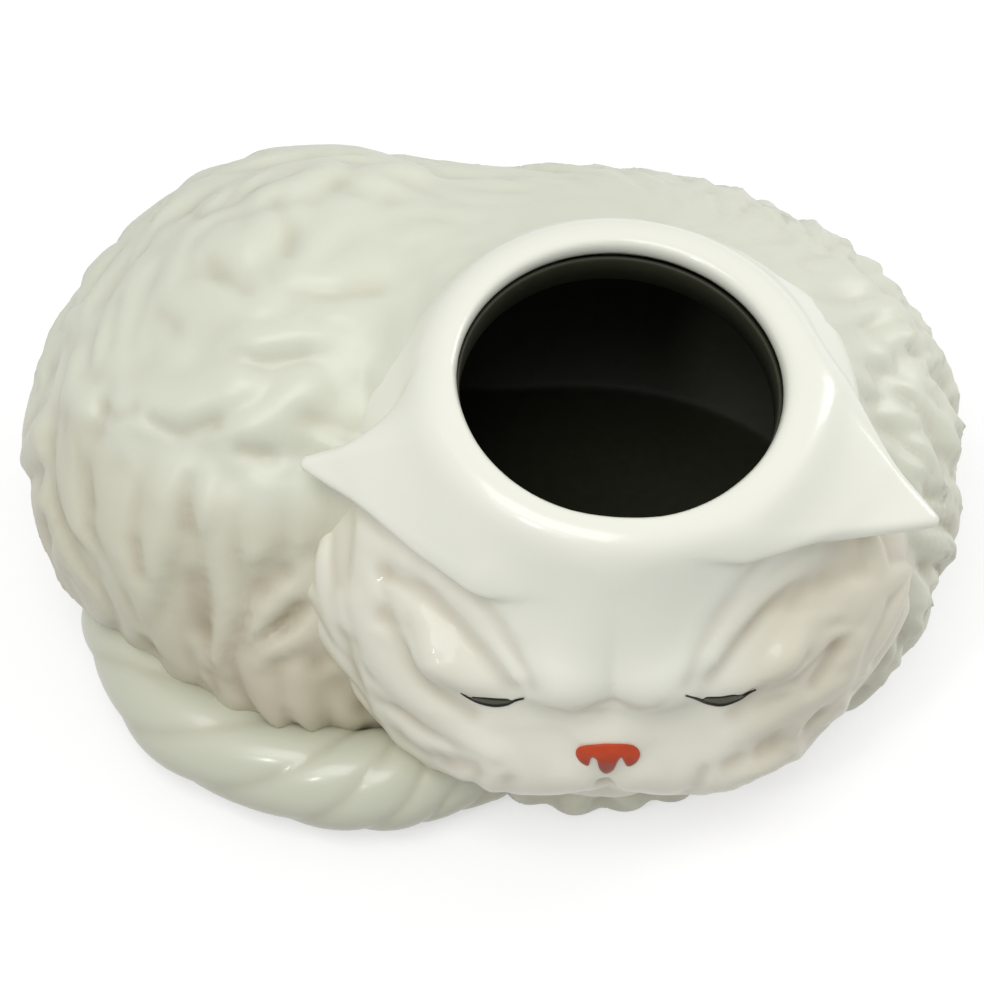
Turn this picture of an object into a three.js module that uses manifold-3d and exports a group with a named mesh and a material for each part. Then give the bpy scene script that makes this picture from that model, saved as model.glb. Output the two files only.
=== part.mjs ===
// A glazed ceramic vase in the shape of a curled-up, sleeping cat, with a round mouth in its head.
// Millimetres, +Z up. The cat lies along X, looks towards -Y and stands on Z = 0.
// Its forms are masses of clay that run into each other. Each surface is cast outwards from a point inside.

import * as THREE from 'three';
import { mergeVertices } from 'three/addons/utils/BufferGeometryUtils.js';
import Module from 'manifold-3d';

const wasm = await Module();
wasm.setup();

// Clay, joints and glaze
const WALL = 5;
const FLOOR = 6;
const JOINT = 0.3;
const LINING = 0.8;
const SEAM_HEIGHT = 14;
const HOLLOW_BLEND = 6;

// The body: centre and full size of each mass, and how softly it runs into the masses before it
const BARREL = { x: 24, y: 32, z: 50, length: 216, depth: 161, height: 146, blend: 0 };
const RUMP = { x: -52, y: 38, z: 50, length: 140, depth: 155, height: 156, blend: 24 };
const HAUNCH = { x: -84, y: 26, z: 51, length: 96, depth: 124, height: 106, blend: 20 };
const SHOULDER = { x: 76, y: -5, z: 35, length: 98, depth: 92, height: 100, blend: 24 };
const FLANK = { x: -48, y: -8, z: 31, length: 92, depth: 94, height: 76, blend: 20 };
const RUFF = { x: 26, y: -46, z: 9, length: 66, depth: 40, height: 30, blend: 8 };

// The coat: rows of locks round the body, from the crown to the foot. The root is how far each row starts
// above the level of the body's middle, the run is how far it hangs down and the drift how far it sweeps
// round, all in degrees. The width is half a lock's width.
const COAT_ROWS = [
  { root: 78, run: 24, drift: 40, width: 13, height: 2.8 },
  { root: 62, run: 22, drift: 26, width: 13, height: 3.2 },
  { root: 47, run: 20, drift: 17, width: 12, height: 3.6 },
  { root: 34, run: 16, drift: 11, width: 11, height: 4.2 },
  { root: 21, run: 24, drift: 5, width: 8.5, height: 4.8 },
  { root: 2, run: 26, drift: 5, width: 8.5, height: 4.8 },
  { root: -20, run: 26, drift: 4, width: 8.5, height: 4.2 },
];
const COAT_BASE = 2;
const COAT_GIRTH = 112;
const COAT_TILT = 20;
const COAT_TURN = 190;
const COAT_FADE = 12;
const COAT_HEAD_FADE = 10;
const LOCK_OVERLAP = 1.5;
const LOCK_SWAY = 3.2;

// The fur of the cheeks: rings of locks that fan out from the eye, between two angles, in the same degrees
const CHEEK_ROWS = [
  { root: 18, run: 24, count: 12, width: 5, height: 1.8 },
  { root: 33, run: 26, count: 15, width: 5.5, height: 2.4 },
  { root: 50, run: 28, count: 18, width: 6, height: 3 },
];
const FAN_MIDDLE = { turn: 8, rise: 6 };
const FAN_START = 50;
const FAN_END = -96;
const FAN_BEND = 9;
const FAN_GIRTH = 65;
const BARE_MUZZLE = 24;
const BARE_EYE = 11;
const BARE_CAP = 100;
const BARE_FADE = 10;

// A lock, as shares of its length or width: its lowest height at the root, the part in which it narrows to
// the tip, the short slopes of the tip and the root, and how far its place and length differ from its
// neighbours'
const LOCK_ROOT = 0.35;
const LOCK_NARROWING = 0.5;
const LOCK_THINNEST = 0.1;
const LOCK_TIP = 0.25;
const LOCK_FOOT = 0.12;
const LOCK_WANDER = 0.25;
const LOCK_WAVE = 0.8;

// The head: the same kind of masses, set out from the middle plane of the face
const FACE_X = 29.5;
const SKULL = { x: 0, y: -18, z: 60, length: 156, depth: 112, height: 104, blend: 0 };
const CHEEK = { x: 51, y: -24, z: 64, length: 54, depth: 54, height: 56, blend: 20 };
const JOWL = { x: 29.5, y: -39, z: 42.5, length: 66, depth: 69, height: 68, blend: 20 };
const LID = { x: 33, y: -62, z: 78, length: 34, depth: 24, height: 18, blend: 7 };
const BROW = { x: 12, y: -70, z: 81, length: 24, depth: 20, height: 16, blend: 7 };
const MUZZLE = { x: 16, y: -68, z: 45, length: 54, depth: 32, height: 28, blend: 10 };
const BRIDGE = { x: 0, y: -72, z: 57, length: 18, depth: 20, height: 18, blend: 8 };
const CHIN = { x: 0, y: -63, z: 28, length: 32, depth: 24, height: 18, blend: 8 };
const NAPE = { x: 0, y: 2, z: 104, length: 132, depth: 124, height: 54, blend: 14 };

// The forehead: a rounded wedge from the collar down to the brow, and the hollow beside it over the eye
const FOREHEAD_TOP = { x: 0, y: -47, z: 105, radius: 19 };
const FOREHEAD_SIDE = { x: 26, y: -41, z: 106, radius: 14 };
const FOREHEAD_FOOT = { x: 9, y: -62, z: 80, radius: 15 };
const FOREHEAD_BLEND = 6;
const SOCKET_TOP = { x: 46, y: -64, z: 98, radius: 11 };
const SOCKET_FOOT = { x: 28, y: -83, z: 84, radius: 10 };
const SOCKET_BLEND = 6;

// The mouth of the vase, with its collar and rolled lip
const MOUTH = { x: 31.5, y: -15, z: 130.5 };
const MOUTH_PITCH = 6;
const MOUTH_ROLL = 3;
const MOUTH_RADIUS = 41.8;
const LIP_WIDTH = 9;
const LIP_ROUND = 4;
const COLLAR_FLARE = 0.15;
const COLLAR_SHOULDER = 8;
const COLLAR_BLEND = 18;
const COLLAR_LENGTH = 50;
const THROAT_DEPTH = 22;

// The ears: bearings of the roots and the tip seen from the middle of the skull, in degrees
const LEFT_EAR = {
  front: { turn: -131, rise: 41 },
  back: { turn: -168, rise: 52 },
  tip: { turn: -175, rise: 31 },
};
const RIGHT_EAR = {
  front: { turn: -50, rise: 48 },
  back: { turn: 3, rise: 47 },
  tip: { turn: -14, rise: 26 },
};
const EAR_OVERHANG = 17;
const EAR_SINK = 5;
const EAR_TIP_RADIUS = 2.2;
const EAR_FRONT_RADIUS = 3;
const EAR_BACK_RADIUS = 6;
const EAR_TOP_BLEND = 16;
const EAR_UNDER_BLEND = 3;
const EAR_FILLET = 9;

// The tail: bearings of its course round the foot of the body, and how far its middle lies off the body
const TAIL_COURSE = [
  { turn: 186, off: -14, radius: 15 },
  { turn: 194, off: -8.5, radius: 15 },
  { turn: 202, off: -1, radius: 15 },
  { turn: 214.5, off: 8.5, radius: 14.4 },
  { turn: 229, off: 12, radius: 14.4 },
  { turn: 239, off: 21, radius: 14.4 },
  { turn: 245.5, off: 23, radius: 13 },
  { turn: 253, off: 0.5, radius: 10 },
];
const TAIL_CLEARANCE = 0.6;
const TAIL_FLUTES = 5;
const TAIL_TURNS = 1.4;
const FLUTE_DEPTH = 0.16;

// The painted face: the nose pad and the closed eyes
const NOSE_TOP = 58;
const NOSE_TIP = 51.6;
const NOSE_WIDTH = 12.6;
const NOSE_TOP_RADIUS = 2.6;
const NOSE_TIP_RADIUS = 1.9;
const EYE_INNER = { x: 20.5, z: 75 };
const EYE_MIDDLE = { x: 29, z: 68 };
const EYE_OUTER = { x: 38.5, z: 72 };
const EYE_LINE_RADIUS = 1;
const EYE_END = 0.4;

// How finely each surface is cast
const BODY_DETAIL = 23;
const HEAD_DETAIL = 14;
const HOLLOW_DETAIL = 6;
const EAR_DETAIL = 6;
const NOSE_DETAIL = 3;
const TAIL_SIDES = 30;
const TAIL_STEPS = 28;
const THROAT_SIDES = 48;
const LIP_STEPS = 4;
const CAP_STEPS = 4;
const EYE_SIDES = 8;
const EYE_STEPS = 10;
const CAST_STRIDE = 3;
const CAST_HALVINGS = 26;
const BLOCK = 400;

const degrees = THREE.MathUtils.degToRad;
const { clamp, smoothstep } = THREE.MathUtils;
const place = ({ x, y, z }) => new THREE.Vector3(x, y, z);

// Clay: signed distances, below zero inside

function softMin(a, b, blend) {
  const overlap = Math.max(blend - Math.abs(a - b), 0);
  return Math.min(a, b) - (blend > 0 ? (overlap * overlap) / (4 * blend) : 0);
}

function softMax(a, b, blend) {
  return -softMin(-a, -b, blend);
}

function ball(point, mass) {
  const x = (point.x - mass.x) / (mass.length / 2);
  const y = (point.y - mass.y) / (mass.depth / 2);
  const z = (point.z - mass.z) / (mass.height / 2);
  const far = Math.hypot(x, y, z);
  const steep = Math.hypot(x / (mass.length / 2), y / (mass.depth / 2), z / (mass.height / 2));
  return steep > 0 ? (far * (far - 1)) / steep : -Math.min(mass.length, mass.depth, mass.height) / 2;
}

function clay(point, masses) {
  return masses.reduce((skin, mass) => softMin(skin, ball(point, mass), mass.blend), Infinity);
}

function taper(point, start, end, startRadius, endRadius) {
  const along = end.clone().sub(start);
  const share = clamp(point.clone().sub(start).dot(along) / along.lengthSq(), 0, 1);
  const axis = start.clone().addScaledVector(along, share);
  return point.distanceTo(axis) - THREE.MathUtils.lerp(startRadius, endRadius, share);
}

// A rounded, flat triangle whose thickness runs from corner to corner
function flap(point, corners, radii) {
  const triangle = new THREE.Triangle(...corners);
  const nearest = triangle.closestPointToPoint(point, new THREE.Vector3());
  const shares = triangle.getBarycoord(nearest, new THREE.Vector3());
  return point.distanceTo(nearest) - shares.dot(new THREE.Vector3(...radii));
}

// The mouth's own frame: its middle, its axis, and any point as a radius and a height over the lip
const mouthTurn = new THREE.Euler(degrees(MOUTH_PITCH), degrees(MOUTH_ROLL), 0);
const mouthAxis = new THREE.Vector3(0, 0, 1).applyEuler(mouthTurn);
const mouthMiddle = place(MOUTH);

function overMouth(point) {
  const arm = point.clone().sub(mouthMiddle);
  const height = arm.dot(mouthAxis);
  const radius = arm.addScaledVector(mouthAxis, -height).length();
  return { radius, height };
}

function collarSkin(point) {
  const { radius, height } = overMouth(point);
  const outer = MOUTH_RADIUS + LIP_WIDTH + Math.max(-height, 0) * COLLAR_FLARE;
  const ring = softMax(radius - outer, height, COLLAR_SHOULDER);
  return Math.max(ring, -height - COLLAR_LENGTH);
}

const skullMiddle = new THREE.Vector3(FACE_X, SKULL.y, SKULL.z);
const FACE_MASSES = [SKULL, CHEEK, JOWL, LID, BROW, MUZZLE, BRIDGE, CHIN, NAPE];
const FOREHEAD = [FOREHEAD_TOP, FOREHEAD_SIDE, FOREHEAD_FOOT];
const foreheadCorners = FOREHEAD.map(place);
const foreheadRadii = FOREHEAD.map(({ radius }) => radius);
const socketTop = place(SOCKET_TOP);
const socketFoot = place(SOCKET_FOOT);

function headSkin(point) {
  const folded = new THREE.Vector3(Math.abs(point.x - FACE_X), point.y, point.z);
  const socket = taper(folded, socketTop, socketFoot, SOCKET_TOP.radius, SOCKET_FOOT.radius);
  const cheeks = softMax(clay(folded, FACE_MASSES), -socket, SOCKET_BLEND);
  const face = softMin(cheeks, flap(folded, foreheadCorners, foreheadRadii), FOREHEAD_BLEND);
  return softMin(face, collarSkin(point), COLLAR_BLEND);
}

const BODY_MASSES = [BARREL, RUMP, HAUNCH, SHOULDER, FLANK, RUFF];
const bodyMiddle = place(BARREL);
const bodyHeart = place(BARREL).lerp(place(RUMP), 0.5);

function bodySkin(point) {
  return clay(point, BODY_MASSES);
}

// Fur: each lock is a rounded rib that swells from its root to its tip, with its own small differences

// A fixed number between -0.5 and 0.5 for each lock, row and purpose
function chance(number, row, purpose) {
  const wave = Math.sin(number * 12.9898 + row * 78.233 + purpose * 37.719) * 43758.5453;
  return wave - Math.floor(wave) - 0.5;
}

function lockRib(share, aside, { width, height }) {
  const narrowed = clamp((1 - share) / LOCK_NARROWING, LOCK_THINNEST, 1);
  const dome = clamp(1 - (aside / (width * narrowed)) ** 2, 0, 1);
  const tip = clamp((1 - share) / LOCK_TIP, 0, 1);
  const swell = LOCK_ROOT + (1 - LOCK_ROOT) * clamp(share, 0, 1);
  return height * swell * dome * tip * smoothstep(share, -LOCK_FOOT, LOCK_FOOT);
}

function bearingsFrom(point, middle) {
  const arm = point.clone().sub(middle);
  const turn = THREE.MathUtils.radToDeg(Math.atan2(arm.y, arm.x));
  return { turn, rise: THREE.MathUtils.radToDeg(Math.asin(arm.z / arm.length())) };
}

// The tallest of the locks next to a place in one row
function tallest(nearest, heightOf) {
  return Math.max(0, ...[-1, 0, 1, 2].map((step) => heightOf(nearest + step)));
}

function coatRow(row, index, turn, rise) {
  const girth = 2 * Math.PI * COAT_GIRTH * Math.cos(degrees(row.root - row.run / 2));
  const count = Math.round(girth / (LOCK_OVERLAP * row.width));
  const spacing = 360 / count;
  const swept = turn - (row.drift * (row.root - rise)) / row.run;
  return tallest(Math.floor(swept / spacing), (lock) => {
    const luck = (purpose) => chance(THREE.MathUtils.euclideanModulo(lock, count), index, purpose);
    const share = (row.root - rise) / row.run + LOCK_WANDER * luck(0);
    const sway = LOCK_SWAY * Math.sin(2 * Math.PI * (LOCK_WAVE * share + luck(1)));
    const middle = (lock + LOCK_WANDER * luck(2)) * spacing + row.drift * share + sway;
    return lockRib(share, degrees(turn - middle) * COAT_GIRTH * Math.cos(degrees(rise)), row);
  });
}

function coatHeight(point) {
  const { turn, rise } = bearingsFrom(point, bodyMiddle);
  const level = rise - COAT_TILT * Math.sin(degrees(turn - COAT_TURN));
  return Math.max(...COAT_ROWS.map((row, index) => coatRow(row, index, turn, level)));
}

function furSkin(point) {
  const foot = smoothstep(point.z, 0, COAT_FADE);
  const behindHead = smoothstep(headSkin(point), -COAT_HEAD_FADE, COAT_HEAD_FADE);
  return bodySkin(point) - foot * (coatHeight(point) * behindHead - COAT_BASE);
}

function cheekRow(row, index, right, fan, out) {
  const spacing = (FAN_START - FAN_END) / row.count;
  return tallest(Math.floor((FAN_START - fan) / spacing), (lock) => {
    if (lock < 0 || lock > row.count) return 0;
    const luck = (purpose) => chance(lock + (right ? row.count : 0), index, purpose);
    const share = (out - row.root) / row.run + LOCK_WANDER * luck(0);
    const bend = FAN_BEND * Math.sin(Math.PI * LOCK_WAVE * (share + luck(1)));
    const middle = FAN_START - (lock + LOCK_WANDER * luck(2)) * spacing + bend;
    return lockRib(share, degrees(fan - middle) * degrees(out) * FAN_GIRTH, row);
  });
}

function cheekHeight(point) {
  const { turn, rise } = bearingsFrom(point, skullMiddle);
  const across = Math.abs(turn + 90) - FAN_MIDDLE.turn;
  const above = rise - FAN_MIDDLE.rise;
  const fan = THREE.MathUtils.radToDeg(Math.atan2(above, across));
  const out = Math.hypot(across, above);
  const right = point.x > FACE_X;
  return Math.max(...CHEEK_ROWS.map((row, index) => cheekRow(row, index, right, fan, out)));
}

// The cheeks' fur keeps off the muzzle, the eyes and the smooth cap
function maneSkin(point) {
  const side = Math.abs(point.x - FACE_X);
  const fromNose = Math.hypot(side, point.z - NOSE_TIP);
  const fromEye = Math.hypot(side - EYE_MIDDLE.x, point.z - EYE_INNER.z);
  const muzzle = smoothstep(fromNose, BARE_MUZZLE, BARE_MUZZLE + BARE_FADE);
  const eye = smoothstep(fromEye, BARE_EYE, BARE_EYE + BARE_FADE);
  const cap = smoothstep(point.z, BARE_CAP - BARE_FADE, BARE_CAP);
  return headSkin(point) - cheekHeight(point) * muzzle * eye * (1 - cap);
}

// The hollow keeps one wall's thickness from the bare skin of the body and the head together
function hollowSkin(point) {
  const outside = softMin(bodySkin(point), headSkin(point), HOLLOW_BLEND);
  return Math.max(outside + WALL + COAT_BASE, FLOOR - point.z);
}

// Casting: how far a ray from a point inside runs before it leaves the clay

function reach(skin, from, direction) {
  const probe = new THREE.Vector3();
  const at = (distance) => skin(probe.copy(from).addScaledVector(direction, distance));
  let outside = CAST_STRIDE;
  while (at(outside) < 0 && outside < BLOCK) outside += CAST_STRIDE;
  let inside = outside - CAST_STRIDE;
  for (let i = 0; i < CAST_HALVINGS; i += 1) {
    const middle = (inside + outside) / 2;
    if (at(middle) < 0) inside = middle;
    else outside = middle;
  }
  return outside;
}

function bare(geometry) {
  geometry.deleteAttribute('normal');
  geometry.deleteAttribute('uv');
  return mergeVertices(geometry);
}

function reshape(geometry, move) {
  const { position } = geometry.attributes;
  const vertex = new THREE.Vector3();
  for (let i = 0; i < position.count; i += 1) {
    move(vertex.fromBufferAttribute(position, i));
    position.setXYZ(i, vertex.x, vertex.y, vertex.z);
  }
  return geometry;
}

function cast(skin, middle, detail) {
  const globe = bare(new THREE.IcosahedronGeometry(1, Math.round(detail)));
  return reshape(globe, (vertex) => {
    const direction = vertex.clone().normalize();
    vertex.copy(middle).addScaledVector(direction, reach(skin, middle, direction));
  });
}

const grown = (skin, amount) => (point) => skin(point) - amount;

// A round rod bent along a curve; its radius can change along the curve and round it
function sweep(curve, slenderness, radiusAt, sides, steps) {
  const rod = bare(new THREE.CapsuleGeometry(1, slenderness, CAP_STEPS, sides, steps));
  const up = new THREE.Vector3(0, 0, 1);
  return reshape(rod, (vertex) => {
    const share = clamp(vertex.y / (slenderness + 2) + 0.5, 0, 1);
    const tangent = curve.getTangentAt(share);
    const side = tangent.clone().cross(up).normalize();
    const rise = side.clone().cross(tangent);
    const radius = radiusAt(share, Math.atan2(vertex.z, vertex.x));
    const { x, z } = vertex;
    vertex.copy(curve.getPointAt(share)).addScaledVector(side, x * radius).addScaledVector(rise, z * radius);
  });
}

// Solids: closed geometry to and from the library that joins and cuts

function solid(geometry) {
  const merged = bare(geometry);
  const { array } = merged.index;
  const corners = [];
  for (let i = 0; i < array.length; i += 3) {
    const [a, b, c] = [array[i], array[i + 1], array[i + 2]];
    if (a !== b && b !== c && c !== a) corners.push(a, b, c);
  }
  const vertProperties = new Float32Array(merged.attributes.position.array);
  return new wasm.Manifold(new wasm.Mesh({ numProp: 3, vertProperties, triVerts: new Uint32Array(corners) }));
}

function geometryOf(shape) {
  const { vertProperties, triVerts } = shape.getMesh();
  const geometry = new THREE.BufferGeometry();
  geometry.setAttribute('position', new THREE.BufferAttribute(vertProperties, 3));
  geometry.setIndex(new THREE.BufferAttribute(triVerts, 1));
  return geometry;
}

// Everything below a level plane
function below(level) {
  return solid(new THREE.BoxGeometry(BLOCK, BLOCK, BLOCK).translate(0, 0, level - BLOCK / 2));
}

// The round way through the lip: a straight throat that opens over a rolled edge
function throat(radius, top, depth) {
  const profile = new THREE.Path();
  profile.moveTo(0, -depth);
  profile.lineTo(radius, -depth);
  profile.lineTo(radius, top - LIP_ROUND);
  profile.absarc(radius + LIP_ROUND, top - LIP_ROUND, LIP_ROUND, Math.PI, Math.PI / 2, true);
  profile.lineTo(radius + LIP_ROUND, top + LIP_WIDTH);
  profile.lineTo(0, top + LIP_WIDTH);
  return alongMouth(new THREE.LatheGeometry(profile.getPoints(LIP_STEPS), THROAT_SIDES));
}

function alongMouth(geometry) {
  geometry.rotateX(Math.PI / 2);
  geometry.applyQuaternion(new THREE.Quaternion().setFromEuler(mouthTurn));
  return solid(geometry.translate(MOUTH.x, MOUTH.y, MOUTH.z));
}

function plainThroat(radius, top, depth) {
  const length = top + depth;
  const rod = new THREE.CylinderGeometry(radius, radius, length, THROAT_SIDES);
  return alongMouth(rod.translate(0, top - length / 2, 0));
}

// Places on the skin

function bearing({ turn, rise }) {
  const level = Math.cos(degrees(rise));
  const round = degrees(turn);
  return new THREE.Vector3(level * Math.cos(round), level * Math.sin(round), Math.sin(degrees(rise)));
}

function onHead(towards, depth) {
  const direction = bearing(towards);
  return skullMiddle.clone().addScaledVector(direction, reach(headSkin, skullMiddle, direction) - depth);
}

// The point of the face at a distance from its middle plane and a height
function onFace(x, z) {
  const start = new THREE.Vector3(FACE_X + x, SKULL.y, z);
  const forward = new THREE.Vector3(0, -1, 0);
  return start.addScaledVector(forward, reach(headSkin, start.clone(), forward));
}

// The pieces

const headForm = solid(cast(maneSkin, skullMiddle, HEAD_DETAIL));
const headSeat = solid(cast(grown(maneSkin, JOINT), skullMiddle, HEAD_DETAIL));
const bodyForm = solid(cast(furSkin, bodyHeart, BODY_DETAIL));
const bodySeat = solid(cast(grown(furSkin, JOINT), bodyHeart, BODY_DETAIL));
const hollow = solid(cast(hollowSkin, skullMiddle, HOLLOW_DETAIL));
const mouthHole = throat(MOUTH_RADIUS, 0, THROAT_DEPTH);
const wall = bodyForm.add(headForm).subtract(hollow).subtract(mouthHole).subtract(below(0));

function noseSkin(point) {
  const corners = [onFace(-NOSE_WIDTH / 2, NOSE_TOP), onFace(NOSE_WIDTH / 2, NOSE_TOP), onFace(0, NOSE_TIP)];
  return flap(point, corners, [NOSE_TOP_RADIUS, NOSE_TOP_RADIUS, NOSE_TIP_RADIUS]);
}

function nosePad(gap) {
  const middle = onFace(0, (NOSE_TOP + NOSE_TIP) / 2);
  return solid(cast(grown(noseSkin, gap), middle, NOSE_DETAIL));
}

function eyeLine(side, gap) {
  const points = [EYE_INNER, EYE_MIDDLE, EYE_OUTER].map(({ x, z }) => onFace(side * x, z));
  const curve = new THREE.CatmullRomCurve3(points);
  const fullness = (share) => EYE_END + (1 - EYE_END) * Math.sin(Math.PI * share);
  const radiusAt = (share) => EYE_LINE_RADIUS * fullness(share) + gap;
  const slenderness = curve.getLength() / EYE_LINE_RADIUS - 2;
  return solid(sweep(curve, slenderness, radiusAt, EYE_SIDES, EYE_STEPS));
}

function headShell() {
  const face = wall.intersect(headForm).subtract(below(SEAM_HEIGHT));
  return face.subtract(nosePad(JOINT)).subtract(eyeLine(-1, JOINT)).subtract(eyeLine(1, JOINT));
}

function bodyShell() {
  return wall.subtract(headSeat.subtract(below(SEAM_HEIGHT - JOINT)));
}

// An ear runs softly into the cap on its upper side, and stands over the cheek with a crisp edge
function ear({ front, back, tip }) {
  const corners = [onHead(tip, -EAR_OVERHANG), onHead(front, EAR_SINK), onHead(back, EAR_SINK)];
  const radii = [EAR_TIP_RADIUS, EAR_FRONT_RADIUS, EAR_BACK_RADIUS];
  const leaf = new THREE.Triangle(...corners);
  const plane = leaf.getPlane(new THREE.Plane());
  const skin = (point) => {
    const above = plane.distanceToPoint(point) * Math.sign(plane.normal.z);
    const blend = THREE.MathUtils.lerp(EAR_UNDER_BLEND, EAR_TOP_BLEND, smoothstep(above, 0, EAR_BACK_RADIUS));
    const thickness = flap(point, corners, radii);
    return Math.max(softMin(headSkin(point), thickness, blend), thickness - EAR_FILLET);
  };
  const form = solid(cast(skin, leaf.getMidpoint(new THREE.Vector3()), EAR_DETAIL));
  const pieces = form.subtract(headSeat).subtract(bodySeat).decompose();
  return pieces.reduce((largest, piece) => (piece.volume() > largest.volume() ? piece : largest));
}

function tailPoint({ turn, off, radius }) {
  const level = radius + TAIL_CLEARANCE;
  const start = new THREE.Vector3(bodyMiddle.x, bodyMiddle.y, level);
  const direction = bearing({ turn, rise: 0 });
  return start.clone().addScaledVector(direction, reach(bodySkin, start, direction) + off);
}

function tail() {
  const curve = new THREE.CatmullRomCurve3(TAIL_COURSE.map(tailPoint));
  const radii = new THREE.SplineCurve(TAIL_COURSE.map(({ radius }, i) => new THREE.Vector2(i, radius)));
  const radiusAt = (share, angle) => {
    const flute = Math.sin(TAIL_FLUTES * (angle + 2 * Math.PI * TAIL_TURNS * share / TAIL_FLUTES));
    return radii.getPoint(share).y * (1 - FLUTE_DEPTH * (1 - Math.abs(flute)));
  };
  const slenderness = curve.getLength() / TAIL_COURSE[0].radius - 2;
  const form = solid(sweep(curve, slenderness, radiusAt, TAIL_SIDES, TAIL_STEPS));
  return form.subtract(bodySeat).subtract(headSeat).subtract(below(0));
}

function innerGlaze() {
  const outside = solid(cast(grown(hollowSkin, -JOINT), skullMiddle, HOLLOW_DETAIL));
  const inside = solid(cast(grown(hollowSkin, -JOINT - LINING), skullMiddle, HOLLOW_DETAIL));
  const top = -LIP_ROUND;
  const sleeve = plainThroat(MOUTH_RADIUS - JOINT, top, THROAT_DEPTH);
  const bore = plainThroat(MOUTH_RADIUS - JOINT - LINING, LIP_WIDTH, THROAT_DEPTH);
  return outside.add(sleeve).subtract(inside).subtract(bore);
}

const CREAM_GLAZE = { color: 0xe2e2d6, roughness: 0.22, metalness: 0 };
const FUR_GLAZE = { color: 0xd3d4c6, roughness: 0.3, metalness: 0 };
const TAIL_GLAZE = { color: 0xbdbeab, roughness: 0.22, metalness: 0 };
const DARK_GLAZE = { color: 0x14140f, roughness: 0.35, metalness: 0 };
const RED_ENAMEL = { color: 0xc3462d, roughness: 0.3, metalness: 0 };
const BLACK_ENAMEL = { color: 0x191c16, roughness: 0.3, metalness: 0 };

const vase = new THREE.Group();

function addPiece(name, shape, finish) {
  const piece = new THREE.Mesh(geometryOf(shape), new THREE.MeshStandardMaterial(finish));
  piece.name = name;
  vase.add(piece);
}

addPiece('body_shell', bodyShell(), FUR_GLAZE);
addPiece('head_shell', headShell(), CREAM_GLAZE);
addPiece('left_ear', ear(LEFT_EAR), CREAM_GLAZE);
addPiece('right_ear', ear(RIGHT_EAR), CREAM_GLAZE);
addPiece('tail', tail(), TAIL_GLAZE);
addPiece('inner_glaze', innerGlaze(), DARK_GLAZE);
addPiece('nose_enamel', nosePad(0), RED_ENAMEL);
addPiece('left_eye_line', eyeLine(-1, 0), BLACK_ENAMEL);
addPiece('right_eye_line', eyeLine(1, 0), BLACK_ENAMEL);

// The origin is the middle of the foot, under the middle of the whole vase
const extent = new THREE.Box3().setFromObject(vase, true);
const middle = extent.getCenter(new THREE.Vector3());
vase.children.forEach((piece) => piece.position.set(-middle.x, -middle.y, 0));

export default vase;
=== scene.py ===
# %% [markdown]
# # A sleeping-cat vase in glazed ceramic
# The real vase was modelled in clay, cast hollow from slip, fired, and glazed by hand. The CAD solids
# give its frame and its size. Every visible surface is then sculpted again as fine clay: rounded masses
# that run into each other, locks of fur laid over them, and glaze that pools in the hollows.

# %% Load the frame
import math

import bpy
import numpy as np
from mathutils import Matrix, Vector


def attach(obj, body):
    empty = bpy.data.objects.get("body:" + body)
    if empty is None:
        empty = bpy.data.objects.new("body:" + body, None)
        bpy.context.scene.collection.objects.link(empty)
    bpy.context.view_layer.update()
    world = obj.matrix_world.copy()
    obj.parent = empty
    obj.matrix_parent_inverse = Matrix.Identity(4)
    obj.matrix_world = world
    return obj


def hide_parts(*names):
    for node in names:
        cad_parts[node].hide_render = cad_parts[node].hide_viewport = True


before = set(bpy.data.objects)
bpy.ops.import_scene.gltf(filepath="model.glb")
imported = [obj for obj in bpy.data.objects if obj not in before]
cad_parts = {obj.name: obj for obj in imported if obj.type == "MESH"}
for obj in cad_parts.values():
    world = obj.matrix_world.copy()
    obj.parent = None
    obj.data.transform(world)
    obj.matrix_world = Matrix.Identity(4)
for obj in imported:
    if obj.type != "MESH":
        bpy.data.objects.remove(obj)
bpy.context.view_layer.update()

# %% [markdown]
# ## Clay
# A sculptor presses lumps of clay together and rubs the joints smooth. Blender's sculpt mode does the
# same by hand, but a script needs a rule. So each lump is a signed distance in millimetres: below zero
# inside, above zero outside. A soft minimum joins two lumps with a fillet, as a thumb would.

# %% Clay tools
FAR_AWAY, TINY = 1e6, 1e-9


def soft_min(a, b, blend):
    wide = 1.5 * np.maximum(blend, TINY)
    overlap = np.maximum(1 - np.abs(a - b) / wide, 0)
    return np.minimum(a, b) - overlap ** 3 * wide / 6


def soft_max(a, b, blend):
    return -soft_min(-a, -b, blend)


def ball(points, middle, half):
    arm = (points - np.array(middle, float)) / np.array(half, float)
    far = np.linalg.norm(arm, axis=-1)
    steep = np.linalg.norm(arm / np.array(half, float), axis=-1)
    return far * (far - 1) / np.maximum(steep, TINY)


def clay(points, masses):
    skin = np.full(points.shape[:-1], FAR_AWAY)
    for middle, half, blend in masses:
        skin = soft_min(skin, ball(points, middle, half), blend)
    return skin


outside = ball(np.array((15.0, 0, 0)), (0, 0, 0), (10, 10, 10))
print("15 mm from the middle of a 10 mm ball, the distance is", outside)

# %% [markdown]
# Two more lumps: a rod that tapers from one end to the other, for eye sockets and painted lines, and a
# flap, a triangle with its own thickness at each corner, for ears and forehead. A step that eases in
# and out fades one thing into another.

# %% Rods, flaps and steps
def rod(points, start, start_radius, end, end_radius):
    start, end = np.array(start, float), np.array(end, float)
    along = end - start
    share = np.clip((points - start) @ along / (along @ along), 0, 1)
    nearest = start + share[..., None] * along
    return np.linalg.norm(points - nearest, axis=-1) - (start_radius + (end_radius - start_radius) * share)


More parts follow.
